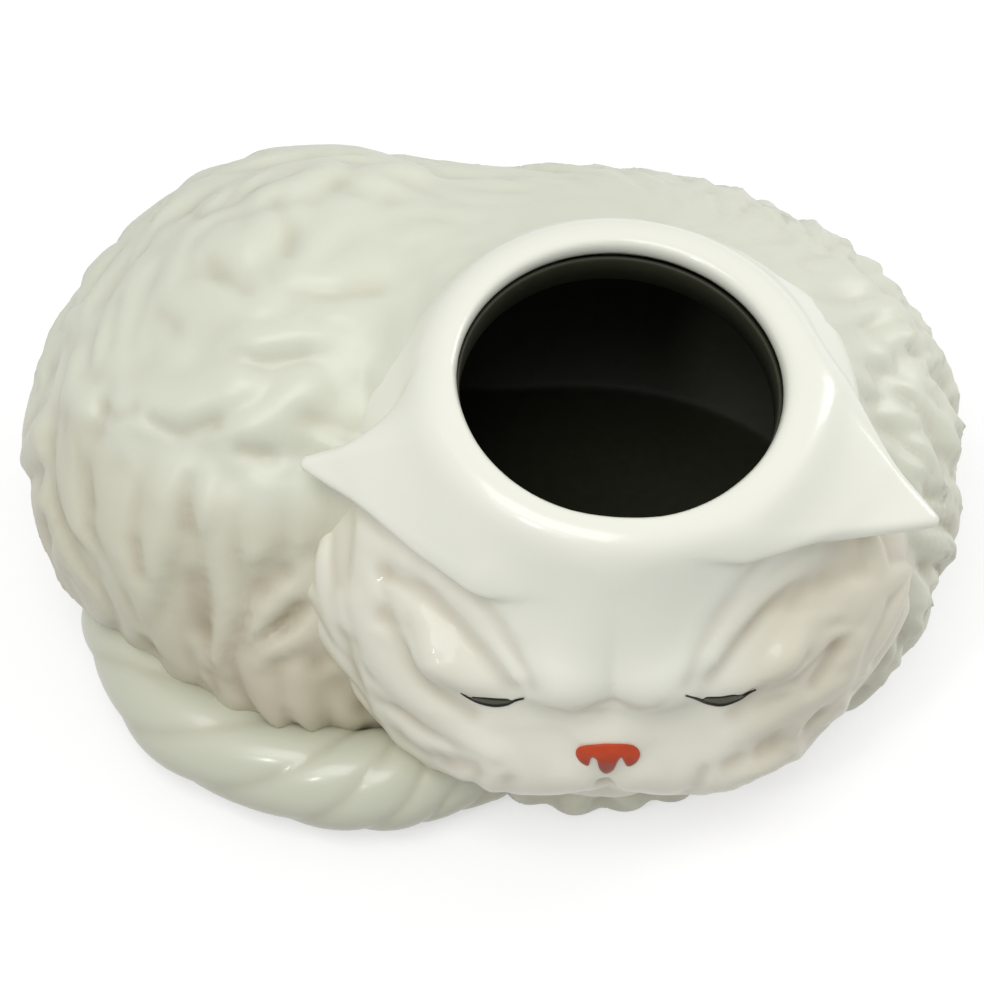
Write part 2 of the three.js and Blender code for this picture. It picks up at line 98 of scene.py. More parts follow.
def flap(points, corners, radii):
    a, b, c = (np.array(corner, float) for corner in corners)
    across = np.cross(b - a, c - a)
    area = across @ across
    arm = points - a
    lift = arm @ across / area
    foot = arm - lift[..., None] * across
    share_b = np.cross(foot, c - a) @ across / area
    share_c = np.cross(b - a, foot) @ across / area
    share_a = 1 - share_b - share_c
    over = (share_a >= 0) & (share_b >= 0) & (share_c >= 0)
    thick = share_a * radii[0] + share_b * radii[1] + share_c * radii[2]
    skin = np.where(over, np.abs(lift) * math.sqrt(area) - thick, FAR_AWAY)
    for i, j in ((0, 1), (1, 2), (2, 0)):
        skin = np.minimum(skin, rod(points, corners[i], radii[i], corners[j], radii[j]))
    return skin


def step_between(low, high, values):
    share = np.clip((values - low) / (high - low), 0, 1)
    return share * share * (3 - 2 * share)


print("a quarter of the way, the eased step is at", step_between(0, 4, 1))

# %% [markdown]
# ## The body's masses
# The body is a hollow bean of clay on a flat foot. All sizes are millimetres in the sculptor's own
# frame, in which the foot's middle is FOOT_MIDDLE. A mass is an ellipsoid: its middle, its half sizes,
# and how softly it runs into the masses before it. A few large masses keep the outline calm, and the
# fur comes later.

# %% Body
MM = 0.001
FOOT_MIDDLE = np.array((-0.91, 16.21, 0.0))
BODY_MASSES = (
    ((24, 32, 50), (108, 80.5, 73), 0),  # trunk
    ((-52, 38, 50), (70, 77.5, 78), 24),  # haunch
    ((-84, 26, 51), (48, 62, 53), 20),  # rump
    ((74, -3, 35), (49, 46, 50), 24),  # shoulder
    ((-48, -8, 31), (46, 47, 38), 20),  # thigh
    ((26, -46, 9), (33, 20, 15), 8),  # ruff under the chin, then its four tufts
    ((9, -58, 9), (8, 7, 11), 3),
    ((22, -61, 8), (8, 7, 11), 3),
    ((36, -61, 9), (8, 6, 11), 3),
    ((49, -58, 9), (8, 6, 11), 3),
)


def body_skin(points):
    return clay(points, BODY_MASSES)


print(len(BODY_MASSES), "masses in the body")

# %% [markdown]
# ## Mouth and collar
# The vase's mouth is a round hole with a rolled lip, turned on a slightly tilted axis, and a collar
# carries it. A lathe profile would give the ring, but it would not melt into the head. As clay, the
# collar is one more lump.

# %% Mouth, collar and throat
MOUTH = np.array((31.5, -15.0, 130.5))
MOUTH_PITCH, MOUTH_ROLL = 6.0, 3.0
MOUTH_RADIUS, LIP_WIDTH, LIP_ROUND = 41.8, 9.0, 4.0
COLLAR_FLARE, COLLAR_EDGE, COLLAR_DEPTH, THROAT_DEPTH = 0.15, 8, 50, 60
pitch, roll = math.radians(MOUTH_PITCH), math.radians(MOUTH_ROLL)
mouth_axis = np.array((math.sin(roll), -math.cos(roll) * math.sin(pitch), math.cos(roll) * math.cos(pitch)))


def over_mouth(points):
    arm = points - MOUTH
    height = arm @ mouth_axis
    return np.linalg.norm(arm - height[..., None] * mouth_axis, axis=-1), height


def collar_skin(points):
    radius, height = over_mouth(points)
    outer = MOUTH_RADIUS + LIP_WIDTH + np.maximum(-height, 0) * COLLAR_FLARE
    return np.maximum(soft_max(radius - outer, height, COLLAR_EDGE), -height - COLLAR_DEPTH)


def throat(points):
    radius, height = over_mouth(points)
    return np.maximum(radius - MOUTH_RADIUS, -height - THROAT_DEPTH)


print("mouth", 2 * MOUTH_RADIUS, "mm across, axis", mouth_axis.round(3))

# %% [markdown]
# ## The head
# The sleeping face is one half sculpted twice: the head is folded on its middle plane, so both cheeks,
# lids and brows are made at once, as a mirror modifier would. Sunk sockets hold the closed eyes, the
# forehead is a wedge between them, and the ears are flat rounded flaps that run into the cap.

# %% Face, forehead and ears
FACE_X = 29.5
FACE_MASSES = (
    ((0, -18, 60), (78, 56, 52), 0),  # skull
    ((51, -24, 64), (27, 27, 28), 20),  # cheek
    ((29.5, -39, 42.5), (33, 34.5, 34), 20),  # jowl
    ((33, -62, 78), (17, 12, 9), 7),  # outer and inner half of the lid
    ((12, -70, 81), (12, 10, 8), 7),
    ((16, -68, 45), (27, 16, 14), 10),  # muzzle
    ((0, -72, 57), (9, 10, 9), 8),  # bridge of the nose
    ((0, -63, 28), (16, 12, 9), 8),  # chin
    ((0, 2, 104), (66, 62, 27), 14),  # cap
)
FOREHEAD = ((0, -47, 105), (26, -41, 106), (9, -62, 80))
FOREHEAD_RADII = (19.0, 14.0, 15.0)
SOCKET = ((46, -64, 98), 11, (28, -83, 84), 10)
SOCKET_BLEND, FOREHEAD_BLEND, COLLAR_BLEND = 6, 6, 18
EARS = (
    ((-49, -25, 108), (-4, -56, 104), (-15, -27, 119)),
    ((112, -38, 101), (61, -55, 114), (83, -15, 117)),
)
EAR_RADII = (2.2, 3.0, 6.0)
EAR_UNDER_BLEND, EAR_TOP_BLEND, EAR_TOP = 3, 13, (-2, 5)


def folded(points):
    return np.concatenate([np.abs(points[..., :1] - FACE_X), points[..., 1:]], -1)


def bare_head(points):
    half = folded(points)
    cheeks = soft_max(clay(half, FACE_MASSES), -rod(half, *SOCKET), SOCKET_BLEND)
    face = soft_min(cheeks, flap(half, FOREHEAD, FOREHEAD_RADII), FOREHEAD_BLEND)
    return soft_min(face, collar_skin(points), COLLAR_BLEND)


def ear_skin(points):
    return np.minimum(*(flap(points, ear, EAR_RADII) for ear in EARS))


def with_ears(points, head):
    for ear in EARS:
        a, b, c = (np.array(corner, float) for corner in ear)
        up = np.cross(b - a, c - a)
        up *= math.copysign(1, up[2]) / np.linalg.norm(up)
        blend = EAR_UNDER_BLEND + EAR_TOP_BLEND * step_between(*EAR_TOP, (points - a) @ up)
        head = soft_min(head, flap(points, ear, EAR_RADII), blend)
    return head


print(len(FACE_MASSES), "masses in half a face, and", len(EARS), "ears")

# %% [markdown]
# ## The hollow and the shells
# Slip leaves a wall of even thickness in the mould, so the hollow is the outside pulled in by the wall.
# A boolean modifier could cut it out, but on soft clay it leaves ragged edges. With signed distances a
# cut is one maximum. The body runs up behind the head as a fillet at the nape.

# %% Hollow, head and body
WALL, COAT_BASE, FLOOR = 5.0, 2.0, 6.0
HOLLOW_BLEND, HEAD_FOOT, FOOT_ROUND = 6, 12, 2
NAPE, NAPE_FILLET, NAPE_REACH = (-20, 5), 15, 14
UNDER_HEAD, SEAM_GAP, TUCKED_IN = 0.5, 0.2, 2.5


def hollow_skin(points):
    outside = soft_min(body_skin(points), bare_head(points), HOLLOW_BLEND)
    return np.maximum(outside + WALL + COAT_BASE, FLOOR - points[..., 2])


def head_form(points):
    head = with_ears(points, bare_head(points))
    shell = np.maximum(np.maximum(head, -hollow_skin(points)), HEAD_FOOT - points[..., 2])
    return soft_max(shell, -throat(points), LIP_ROUND)


def body_form(points):
    body, head = body_skin(points), bare_head(points)
    nape = step_between(*NAPE, points[..., 1])
    filled = soft_min(body, head + UNDER_HEAD, 1 + NAPE_FILLET * nape)
    filled = np.maximum(filled, body - NAPE_REACH * nape - SEAM_GAP)
    shell = np.maximum(np.maximum(filled, -hollow_skin(points)), -throat(points))
    kept = np.maximum(shell, -head - TUCKED_IN)
    return soft_max(kept, -points[..., 2], FOOT_ROUND)


print("wall", WALL, "mm under the coat, floor", FLOOR, "mm")

# %% [markdown]
# ## Where the photograph shows a place
# The camera is worked out before any mesh, so that a place in the picture can be found on the skin: a
# ray runs from the camera through the pixel until it meets the clay. Strokes placed in this way lie on
# the form, so they stay right from every side.

# %% The view
ELEVATION, DISTANCE, FOCAL_PIXELS, IMAGE_SIDE = 52.0, 750.0, 2700.0, 984
VIEW_TARGET, TARGET_PIXEL = np.array((0.0, 0.0, 65.0)), (497.0, 490.0)
RAY_START, RAY_END, RAY_STEP = 560.0, 860.0, 0.5
view_rise = math.radians(ELEVATION)
view_right = np.array((1.0, 0.0, 0.0))
view_up = np.array((0.0, math.sin(view_rise), math.cos(view_rise)))
view_back = np.array((0.0, -math.cos(view_rise), math.sin(view_rise)))
off_x, off_y = (pixel - IMAGE_SIDE / 2 for pixel in TARGET_PIXEL)
pixel_shift = (view_up * off_y - view_right * off_x) * DISTANCE / FOCAL_PIXELS
camera_place = VIEW_TARGET + view_back * DISTANCE + pixel_shift


def seen(pixel, skin_of=bare_head):
    across, down = (value - IMAGE_SIDE / 2 for value in pixel)
    ray = view_right * across - view_up * down - view_back * FOCAL_PIXELS
    ray /= np.linalg.norm(ray)
    steps = np.arange(RAY_START, RAY_END, RAY_STEP)
    skin = skin_of(camera_place + steps[:, None] * ray)
    hit = int(np.argmax(skin < 0))
    share = skin[hit - 1] / (skin[hit - 1] - skin[hit])
    return camera_place + (steps[hit - 1] + RAY_STEP * share) * ray


def pixel_of(points):
    arm = points - camera_place
    scale = FOCAL_PIXELS / -(arm @ view_back)
    return np.stack([arm @ view_right * scale, -(arm @ view_up) * scale], -1) + IMAGE_SIDE / 2


print("camera at", camera_place.round(1), "mm, target at pixel", pixel_of(VIEW_TARGET).round(1))

# %% [markdown]
# ## From clay to mesh
# A form is sampled on a grid, one vertex is set in each cell that its surface crosses, and four
# neighbours make a quad. Metaballs or a voxel remesh could do this, but neither takes a formula. This
# net gives even quads.

# %% Surface nets
EDGES = [(a, b) for a in range(8) for b in range(a + 1, 8) if bin(a ^ b).count("1") == 1]
CORNERS = np.array([[i >> 2 & 1, i >> 1 & 1, i & 1] for i in range(8)])


def sample(form, low, high, step):
    counts = [int(math.ceil((h - l) / step)) + 1 for l, h in zip(low, high)]
    axes = [l + step * np.arange(n) for l, n in zip(low, counts)]
    x, y = np.meshgrid(axes[0], axes[1], indexing="ij")
    values = np.empty(counts, np.float32)
    for k, z in enumerate(axes[2]):
        values[:, :, k] = form(np.stack([x, y, np.full_like(x, z)], -1))
    return values


def net_of(form, low, high, step):
    values = sample(form, low, high, step)
    inside = values < 0
    nx, ny, nz = cells = tuple(n - 1 for n in values.shape)
    total = sum(inside[i:i + nx, j:j + ny, k:k + nz].astype(np.int8) for i, j, k in CORNERS)
    crossed = np.argwhere((total > 0) & (total < 8))
    at_corner = np.stack([values[tuple((crossed + c).T)] for c in CORNERS], -1)
    place = np.zeros((len(crossed), 3))
    hits = np.zeros(len(crossed))
    for a, b in EDGES:
        va, vb = at_corner[:, a], at_corner[:, b]
        cut = (va < 0) != (vb < 0)
        share = np.where(cut, va / np.where(cut, va - vb, 1), 0)
        place += cut[:, None] * (CORNERS[a] + share[:, None] * (CORNERS[b] - CORNERS[a]))
        hits += cut
    points = np.array(low) + step * (crossed + place / hits[:, None])
    number = np.full(cells, -1, np.int64)
    number[tuple(crossed.T)] = np.arange(len(crossed))
    return points, quads_of(inside, number)


def quads_of(inside, number):
    faces = []
    for axis in range(3):
        u, v = (axis + 1) % 3, (axis + 2) % 3
        first = np.take(inside, range(inside.shape[axis] - 1), axis)
        second = np.take(inside, range(1, inside.shape[axis]), axis)
        edges = np.argwhere(first != second)
        edges = edges[(edges[:, u] > 0) & (edges[:, v] > 0)]
        edges = edges[(edges[:, u] < number.shape[u]) & (edges[:, v] < number.shape[v])]
        ring = []
        for du, dv in ((1, 1), (0, 1), (0, 0), (1, 0)):
            cell = edges.copy()
            cell[:, u] -= du
            cell[:, v] -= dv
            ring.append(number[tuple(cell.T)])
        ring = np.stack(ring, -1)
        flip = ~first[tuple(edges.T)]
        ring[flip] = ring[flip][:, ::-1]
        faces.append(ring)
    return np.concatenate(faces)


print(len(CORNERS), "corners and", len(EDGES), "edges in a cell")

# %% [markdown]
# The net's vertices are eased once and pulled onto the surface along its slope. The same easing,
# repeated, gives the broad height round a place, and what lies under it is a hollow.

# %% Easing, sculpting and meshes
BROAD_REACH, LEAST_STEEP, PULLS = 4.9, 0.05, 2


def slope(form, points, reach=0.25):
    sides = [form(points + reach * e) - form(points - reach * e) for e in np.eye(3)]
    return np.stack(sides, -1) / (2 * reach)


def neighbours(quads, count):
    ends = np.concatenate([quads[:, [i, (i + 1) % 4]] for i in range(4)])
    degree = np.bincount(ends.ravel(), minlength=count)
    return ends, np.maximum(degree, 1)


def eased(values, ends, degree, rounds):
    for _ in range(rounds):
        total = np.zeros_like(values)
        for column in range(values.shape[1]):
            for a, b in ((0, 1), (1, 0)):
                total[:, column] += np.bincount(ends[:, a], values[ends[:, b], column], len(values))
        values = total / degree[:, None]
    return values


def rounds_for(step):
    return round((BROAD_REACH / step) ** 2)


def sculpt(form, low, high, step):
    points, quads = net_of(form, low, high, step)
    ends, degree = neighbours(quads, len(points))
    points = eased(points, ends, degree, 1)
    for _ in range(PULLS):
        lean = slope(form, points)
        steep = np.maximum((lean * lean).sum(-1), LEAST_STEEP)
        points = points - np.clip(form(points) / steep, -step, step)[:, None] * lean
    normals = slope(form, points)
    normals /= np.maximum(np.linalg.norm(normals, axis=-1, keepdims=True), TINY)
    return points, quads, normals


def to_mesh(name, points, quads, shades=None):
    mesh = bpy.data.meshes.new(name)
    mesh.from_pydata(((points - FOOT_MIDDLE) * MM).tolist(), [], [list(face) for face in quads])
    mesh.polygons.foreach_set("use_smooth", [True] * len(quads))
    for shade, values in (shades or {}).items():
        attribute = mesh.attributes.new(shade, "FLOAT", "POINT")
        attribute.data.foreach_set("value", values.astype(np.float32))
    piece = bpy.data.objects.new(name, mesh)
    bpy.context.scene.collection.objects.link(piece)
    print(name, len(points), "vertices", len(quads), "quads")
    return piece


print("a 1 mm grid is eased", rounds_for(1.0), "times for its broad height")

# %% [markdown]
# ## Locks of fur
# A carved lock is a path on the skin from its root to its tip. It is a rounded rib that swells towards
# the tip, so each lock overlaps the root of the next. A particle system makes hair, not carved locks,
# so the rib is a formula, and a fixed formula of the lock's number shifts each one a little, the same
# in every run.

# %% Lock tools
LOCK_ROOT, LOCK_NARROWING, LOCK_THINNEST, LOCK_TIP = 0.35, 0.5, 0.1, 0.25
LOCK_FOOT, LOCK_WANDER, LOCK_WAVE, LOCK_OVERLAP = 0.12, 0.25, 0.8, 1.5
LOCK_STEPS = (-1, 0, 1, 2)
CHANCE_NUMBER, CHANCE_ROW, CHANCE_PURPOSE, CHANCE_GAIN = 12.9898, 78.233, 37.719, 43758.5453


def chance(number, row, purpose):
    wave = np.sin(number * CHANCE_NUMBER + row * CHANCE_ROW + purpose * CHANCE_PURPOSE) * CHANCE_GAIN
    return wave - np.floor(wave) - 0.5


def lock_rib(share, aside, width, height):
    narrowed = np.clip((1 - share) / LOCK_NARROWING, LOCK_THINNEST, 1)
    dome = np.clip(1 - (aside / (width * narrowed)) ** 2, 0, 1)
    tip = np.clip((1 - share) / LOCK_TIP, 0, 1)
    swell = LOCK_ROOT + (1 - LOCK_ROOT) * np.clip(share, 0, 1)
    return height * swell * dome * tip * step_between(-LOCK_FOOT, LOCK_FOOT, share)


def bearings_from(points, middle):
    arm = points - middle
    turn = np.degrees(np.arctan2(arm[..., 1], arm[..., 0]))
    return turn, np.degrees(np.arcsin(arm[..., 2] / np.linalg.norm(arm, axis=-1)))


def along_path(points, path):
    path = np.array(path, float)
    lengths = np.linalg.norm(np.diff(path, axis=0), axis=-1)
    begin = np.concatenate([[0], np.cumsum(lengths)[:-1]])
    nearest = np.full(len(points), FAR_AWAY)
    share = np.zeros(len(points))
    for a, b, length, start in zip(path, path[1:], lengths, begin):
        line = (b - a) / length
        run = np.clip((points - a) @ line, 0, length)
        far = np.linalg.norm(points - a - run[:, None] * line, axis=-1)
        share = np.where(far < nearest, (start + run) / lengths.sum(), share)
        nearest = np.minimum(nearest, far)
    return nearest, share


def relief(points, strokes, skin_of=bare_head):
    height = np.zeros(len(points))
    for pixels, width, lift in strokes:
        far, _ = along_path(points, [seen(pixel, skin_of) for pixel in pixels])
        height = np.maximum(height, lift * np.exp(-(far / width) ** 2))
    return height


print("height of a lock along its middle:", lock_rib(np.linspace(0, 1, 5), 0.0, 5.0, 1.0).round(2))

# %% [markdown]
# ## The coat
# On the real vase the coat is carved: locks on the back sweep from the nape to the rump and end along a
# fold, and long wavy locks hang from the fold to the foot. A bump map would leave the outline smooth,
# so every vertex is lifted along its normal by a height in millimetres. First comes the plain clay of
# the body.

BODY_GRID, HEAD_GRID, LINING_GRID = ((1.72, 1.1, 2.2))
BODY_BOX = (-140, -75, -3), (136, 122, 132)
OUTER_SHARE, FLAT_FOOT = 0.6, 0.5
body_points, body_quads, body_normals = sculpt(body_form, *BODY_BOX, BODY_GRID)
outer_skin = (hollow_skin(body_points) > WALL * OUTER_SHARE) & (body_points[:, 2] > FLAT_FOOT)
print(outer_skin.sum(), "of", len(body_points), "vertices are on the outside")

# %% [markdown]
# Rows of locks and finer tufts run round the whole body, also where the photograph doesn't show it. A
# row has its root, its length and its drift in degrees, then a lock's width and height in millimetres.

# %% Rows of locks
GIRTH, SWAY, FEWEST_LOCKS = 112.0, 3.2, 3
COAT_TILT, COAT_TURN = 20.0, 190.0
COAT_ROWS = (
    (78, 24, 40, 13, 2.8),
    (62, 22, 26, 13, 3.2),
    (47, 20, 17, 12, 3.6),
    (34, 16, 11, 11, 4.2),
    (21, 24, 5, 8.5, 4.8),
    (2, 26, 5, 8.5, 4.8),
    (-20, 26, 4, 8.5, 4.2),
)
TUFT_ROWS = tuple((84 - 10 * row, 17, max(3, 24 - 2 * row), 4.8, 1.5) for row in range(15))
BODY_MIDDLE = np.array((24.0, 32.0, 50.0))


def coat_height(points, rows):
    turn, rise = bearings_from(points, BODY_MIDDLE)
    rise = rise - COAT_TILT * np.sin(np.radians(turn - COAT_TURN))
    height = np.zeros(len(points))
    for row, (root, length, drift, width, lift) in enumerate(rows):
        girth = 2 * math.pi * GIRTH * math.cos(math.radians(root - length / 2))
        count = max(round(girth / (LOCK_OVERLAP * width)), FEWEST_LOCKS)
        spacing = 360 / count
        near = np.floor((turn - drift * (root - rise) / length) / spacing)
        for step in LOCK_STEPS:
            number = np.mod(near + step, count)
            share = (root - rise) / length + LOCK_WANDER * chance(number, row, 0)
            sway = SWAY * np.sin(2 * math.pi * (LOCK_WAVE * share + chance(number, row, 1)))
            middle = (near + step + LOCK_WANDER * chance(number, row, 2)) * spacing + drift * share + sway
            aside = np.radians(turn - middle) * GIRTH * np.cos(np.radians(rise))
            height = np.maximum(height, lock_rib(share, aside, width, lift))
    return height


body_coat = coat_height(body_points, COAT_ROWS)
body_tufts = coat_height(body_points, TUFT_ROWS)
print("highest lock and tuft in mm:", body_coat.max().round(2), body_tufts.max().round(2))

# %% [markdown]
# The large locks of the flank are laid one by one, as a modeller lays strips of clay. Each has its path
# in pixels from root to tip, then its width and height in millimetres.

# %% Locks of the flank
FLANK_LOCKS = (
    # hanging from the fold, left to right
    (((60, 430), (58, 470), (70, 520), (92, 562)), 7.0, 3.0),
    (((109, 446), (106, 490), (112, 535), (140, 594), (156, 652)), 9.0, 4.2),
    (((182, 450), (160, 504), (152, 562), (163, 612)), 8.0, 4.6),
    (((212, 452), (207, 500), (200, 552)), 7.0, 4.0),
    (((232, 478), (219, 552), (226, 609), (216, 657), (240, 712)), 5.5, 5.2),
    (((268, 474), (258, 530), (250, 580)), 9.5, 4.4),
    (((302, 478), (304, 530), (294, 565)), 7.0, 3.6),
    # swept from the cheek to the thigh
    (((316, 576), (278, 599), (254, 632), (246, 660)), 5.0, 4.8),
    (((332, 612), (302, 640), (264, 655), (250, 692)), 4.8, 4.8),
    # along the foot, left to right
    (((108, 560), (112, 592), (134, 632), (152, 665)), 6.0, 4.4),
    (((150, 610), (160, 645), (176, 672), (195, 702)), 7.0, 5.0),
    (((205, 655), (212, 685), (228, 705), (244, 726)), 6.0, 5.4),
    (((250, 650), (262, 692), (292, 738)), 7.5, 6.0),
    (((292, 665), (298, 702), (326, 742)), 6.0, 6.0),
    (((345, 690), (350, 720), (380, 748)), 5.0, 5.0),
)


def flank_height(points):
    height, cover = np.zeros(len(points)), np.zeros(len(points))
    for pixels, width, lift in FLANK_LOCKS:
        far, share = along_path(points, [seen(pixel, body_skin) for pixel in pixels])
        height = np.maximum(height, lock_rib(share, far, width, lift))
        cover = np.maximum(cover, step_between(2 * width, width, far))
    return height, cover


flank_locks, flank_cover = flank_height(body_points)
print(len(FLANK_LOCKS), "locks cover", (flank_cover > 0.5).sum(), "vertices")

# %% [markdown]
# The back has broad, low locks, and thumb marks between them. A stroke is again a path in pixels, a
# width and a height, but with a soft round section.

# %% Locks and hollows of the back
BODY_HOLLOWS = (
    # between the locks of the flank
    (((80, 468), (87, 505)), 3.0, 1.2),
    (((132, 545), (138, 572)), 2.5, 1.2),
    (((186, 480), (182, 530)), 2.2, 1.2),
    (((192, 588), (198, 634)), 4.5, 2.2),
    (((284, 578), (264, 592)), 3.5, 2.0),
    (((300, 612), (278, 630)), 2.5, 1.8),
    (((345, 648), (318, 668)), 3.0, 1.8),
    (((340, 690), (362, 716)), 4.0, 2.0),
    (((140, 640), (152, 657)), 2.5, 1.2),
    (((206, 676), (216, 694)), 2.2, 1.5),
    # under the fold
    (((100, 408), (118, 418), (134, 410)), 3.0, 2.0),
    (((150, 420), (176, 434), (214, 422)), 2.6, 2.2),
    (((238, 449), (268, 456)), 3.0, 2.4),
    # on the back
    (((236, 352), (262, 362), (304, 354)), 2.6, 1.5),
    (((158, 312), (172, 324)), 3.0, 1.4),
    (((208, 258), (222, 276), (244, 290)), 3.0, 1.6),
    (((276, 204), (288, 226), (290, 250)), 3.0, 1.6),
    (((190, 206), (200, 218)), 3.0, 1.3),
    (((300, 286), (336, 292), (374, 286)), 3.0, 1.4),
    (((340, 184), (356, 192)), 3.0, 1.3),
    (((306, 416), (350, 436)), 3.0, 1.3),
    (((120, 300), (112, 340), (96, 376)), 2.5, 1.2),
    (((312, 322), (348, 326)), 2.5, 1.0),
)
BACK_LOCKS = (
    (((236, 385), (182, 408), (124, 416)), 8.0, 2.2),
    (((344, 318), (296, 334), (244, 344)), 7.0, 2.4),
    (((262, 308), (214, 300), (170, 302)), 8.0, 2.0),
    (((282, 216), (246, 240), (212, 244)), 8.0, 2.2),
    (((140, 270), (118, 310), (102, 350)), 7.0, 1.8),
    (((306, 390), (270, 416), (234, 436)), 7.0, 2.0),
    (((366, 262), (330, 276), (300, 276)), 7.0, 1.8),
    (((352, 206), (320, 232), (302, 262)), 7.0, 1.8),
    (((198, 226), (176, 256), (164, 292)), 6.5, 1.8),
    (((330, 172), (300, 186), (270, 196)), 7.0, 2.4),
    (((410, 172), (384, 176), (358, 184)), 7.0, 2.6),
    (((74, 360), (70, 390), (80, 410)), 6.0, 1.6),
)
FOLD_PIXELS = ((45, 405), (90, 428), (170, 440), (240, 450), (300, 457))
FOLD_WIDTH, FOLD_DEPTH = 3.5, 0.8
BACK_SPREAD, BACK_GAIN = 1.7, 1.6
dents = relief(body_points, BODY_HOLLOWS + ((FOLD_PIXELS, FOLD_WIDTH, FOLD_DEPTH),), body_skin)
back_locks = relief(body_points, BACK_LOCKS, body_skin)
wide_locks = [(path, BACK_SPREAD * width, 1.0) for path, width, _ in BACK_LOCKS]
back_area = np.clip(BACK_GAIN * relief(body_points, wide_locks, body_skin), 0, 1)
print("deepest dent", dents.max().round(2), "mm, highest back lock", back_locks.max().round(2), "mm")

# %% [markdown]
# The heights are now put together. Tufts are fuller on the far side, the neck stays bare behind the
# collar, and the coat fades out at the foot. A pair of numbers says where a change starts and where it
# is complete.

# %% Lift the coat
FAR_BACK, FAR_ENDS, FAR_TUFTS = (25, 55), (90, 112), 0.9
FLANK_CALM, BACK_TUFTS, BACK_FAR_TUFTS, BACK_BASE = 0.7, 0.2, 0.5, 0.4
NECK_BARE, NECK_BARE_ABOVE, NECK_TOP = 10, 16, (70, 95)
FOOT_FADE, SKIN_GAP = (0, 12), 0.5
x, y, z = body_points.T
far_side = np.maximum(step_between(*FAR_BACK, y), step_between(*FAR_ENDS, np.abs(x)))
body_tufts *= 1 + FAR_TUFTS * far_side
body_lift = np.maximum(body_coat * (1 - flank_cover), flank_locks)
body_lift += body_tufts * (1 - FLANK_CALM * flank_cover)
back_tufts = (BACK_TUFTS + BACK_FAR_TUFTS * far_side) * body_tufts
body_lift += back_area * (BACK_GAIN * back_locks + back_tufts + BACK_BASE - body_lift)
from_head = bare_head(body_points)
bare_neck = NECK_BARE + NECK_BARE_ABOVE * step_between(*NECK_TOP, z)
body_lift = body_lift * step_between(-1, 1, from_head / bare_neck) - dents
ends, degree = neighbours(body_quads, len(body_points))
body_lift = eased(body_lift[:, None], ends, degree, 1)[:, 0]
moved = (body_lift - COAT_BASE - SKIN_GAP) * outer_skin * step_between(*FOOT_FADE, z)
body_points = body_points + body_normals * moved[:, None]
print("the coat moves the skin by", moved.min().round(2), "to", moved.max().round(2), "mm")

# %% [markdown]
# Glaze runs off the tips and gathers in the hollows, so the mesh keeps how deep each vertex lies. It also
# keeps where shade is painted in a browner tone: low on the body, on the left flank and in the pocket
# beside the head. The glaze reads both as attributes.

# %% Wash and painted shade of the body
COAT_HOLLOW, DENT_WASH, UPPER, UPPER_CALM = 2.0, 0.15, (60, 95), 0.55
POCKET_HEAD, POCKET_TOP, POCKET_SIDE = (55, 5), (75, 30), (-10, -20)
FLANK_TOP, FLANK_SIDE, FLANK_BACK, LOW_FLANK = (98, 86), (10, -25), (25, -5), (80, 25)
LOW_SHADE, FLANK_SHADE, POCKET_SHADE = 0.25, 0.5, 0.5
x, y, z = body_points.T
broad = eased(body_lift[:, None], ends, degree, rounds_for(BODY_GRID))[:, 0]
body_recess = np.clip((broad - body_lift) / COAT_HOLLOW + DENT_WASH * dents, 0, 1)
body_recess *= 1 - UPPER_CALM * step_between(*UPPER, z)
# Painted shade: the pocket beside the head, the left flank and the low body are darkened in the glaze.
pocket_shade = step_between(*POCKET_HEAD, from_head) * step_between(*POCKET_TOP, z)
pocket_shade *= step_between(*POCKET_SIDE, x)
left_flank_shade = step_between(*FLANK_TOP, z) * step_between(*FLANK_SIDE, x) * step_between(*FLANK_BACK, y)
painted_body_shade = LOW_SHADE * step_between(*LOW_FLANK, z) + FLANK_SHADE * left_flank_shade + POCKET_SHADE * pocket_shade
body = to_mesh("body", body_points, body_quads, {"recess": body_recess, "shade": np.clip(painted_body_shade, 0, 1)})

# %% [markdown]
# ## The face
# The cap between the ears is smooth, and the cheeks carry locks that run out from the eyes and the
# muzzle. The folded head gives the form, and these strokes give what differs between its two sides:
# ridges and grooves, each a path in pixels, a width and a height or depth in millimetres.

# %% Ridges and grooves of the face
FACE_RIDGES = (
    # left lid and cheek
    (((433, 580), (461, 612), (490, 644), (516, 676)), 3.2, 1.5),
    (((433, 633), (462, 656), (490, 678)), 6.2, 0.5),
    (((358, 604), (375, 651), (402, 686), (431, 709), (466, 736), (490, 754)), 5.8, 2.0),
    (((414, 734), (443, 746)), 4.0, 1.5),
    (((366, 540), (402, 566)), 4.0, 1.2),
    (((345, 600), (356, 650), (376, 700), (404, 742)), 3.8, 1.5),
    # lips, then a tuft under the left jowl
    (((572, 776), (588, 784)), 5.0, 1.4),
    (((640, 776), (624, 784)), 5.0, 1.4),
    (((462, 782), (478, 786)), 3.8, 1.2),
    # right lid and cheek
    (((810, 557), (768, 590), (740, 622), (714, 658)), 4.0, 1.5),
    (((772, 628), (746, 654), (724, 678)), 6.2, 0.5),
    (((850, 590), (816, 626), (786, 656)), 5.6, 1.2),
    (((856, 640), (846, 674), (800, 700), (764, 722)), 4.5, 1.9),
    (((838, 700), (815, 735), (790, 750)), 3.6, 2.4),
    (((790, 752), (752, 770)), 3.6, 2.2),
)
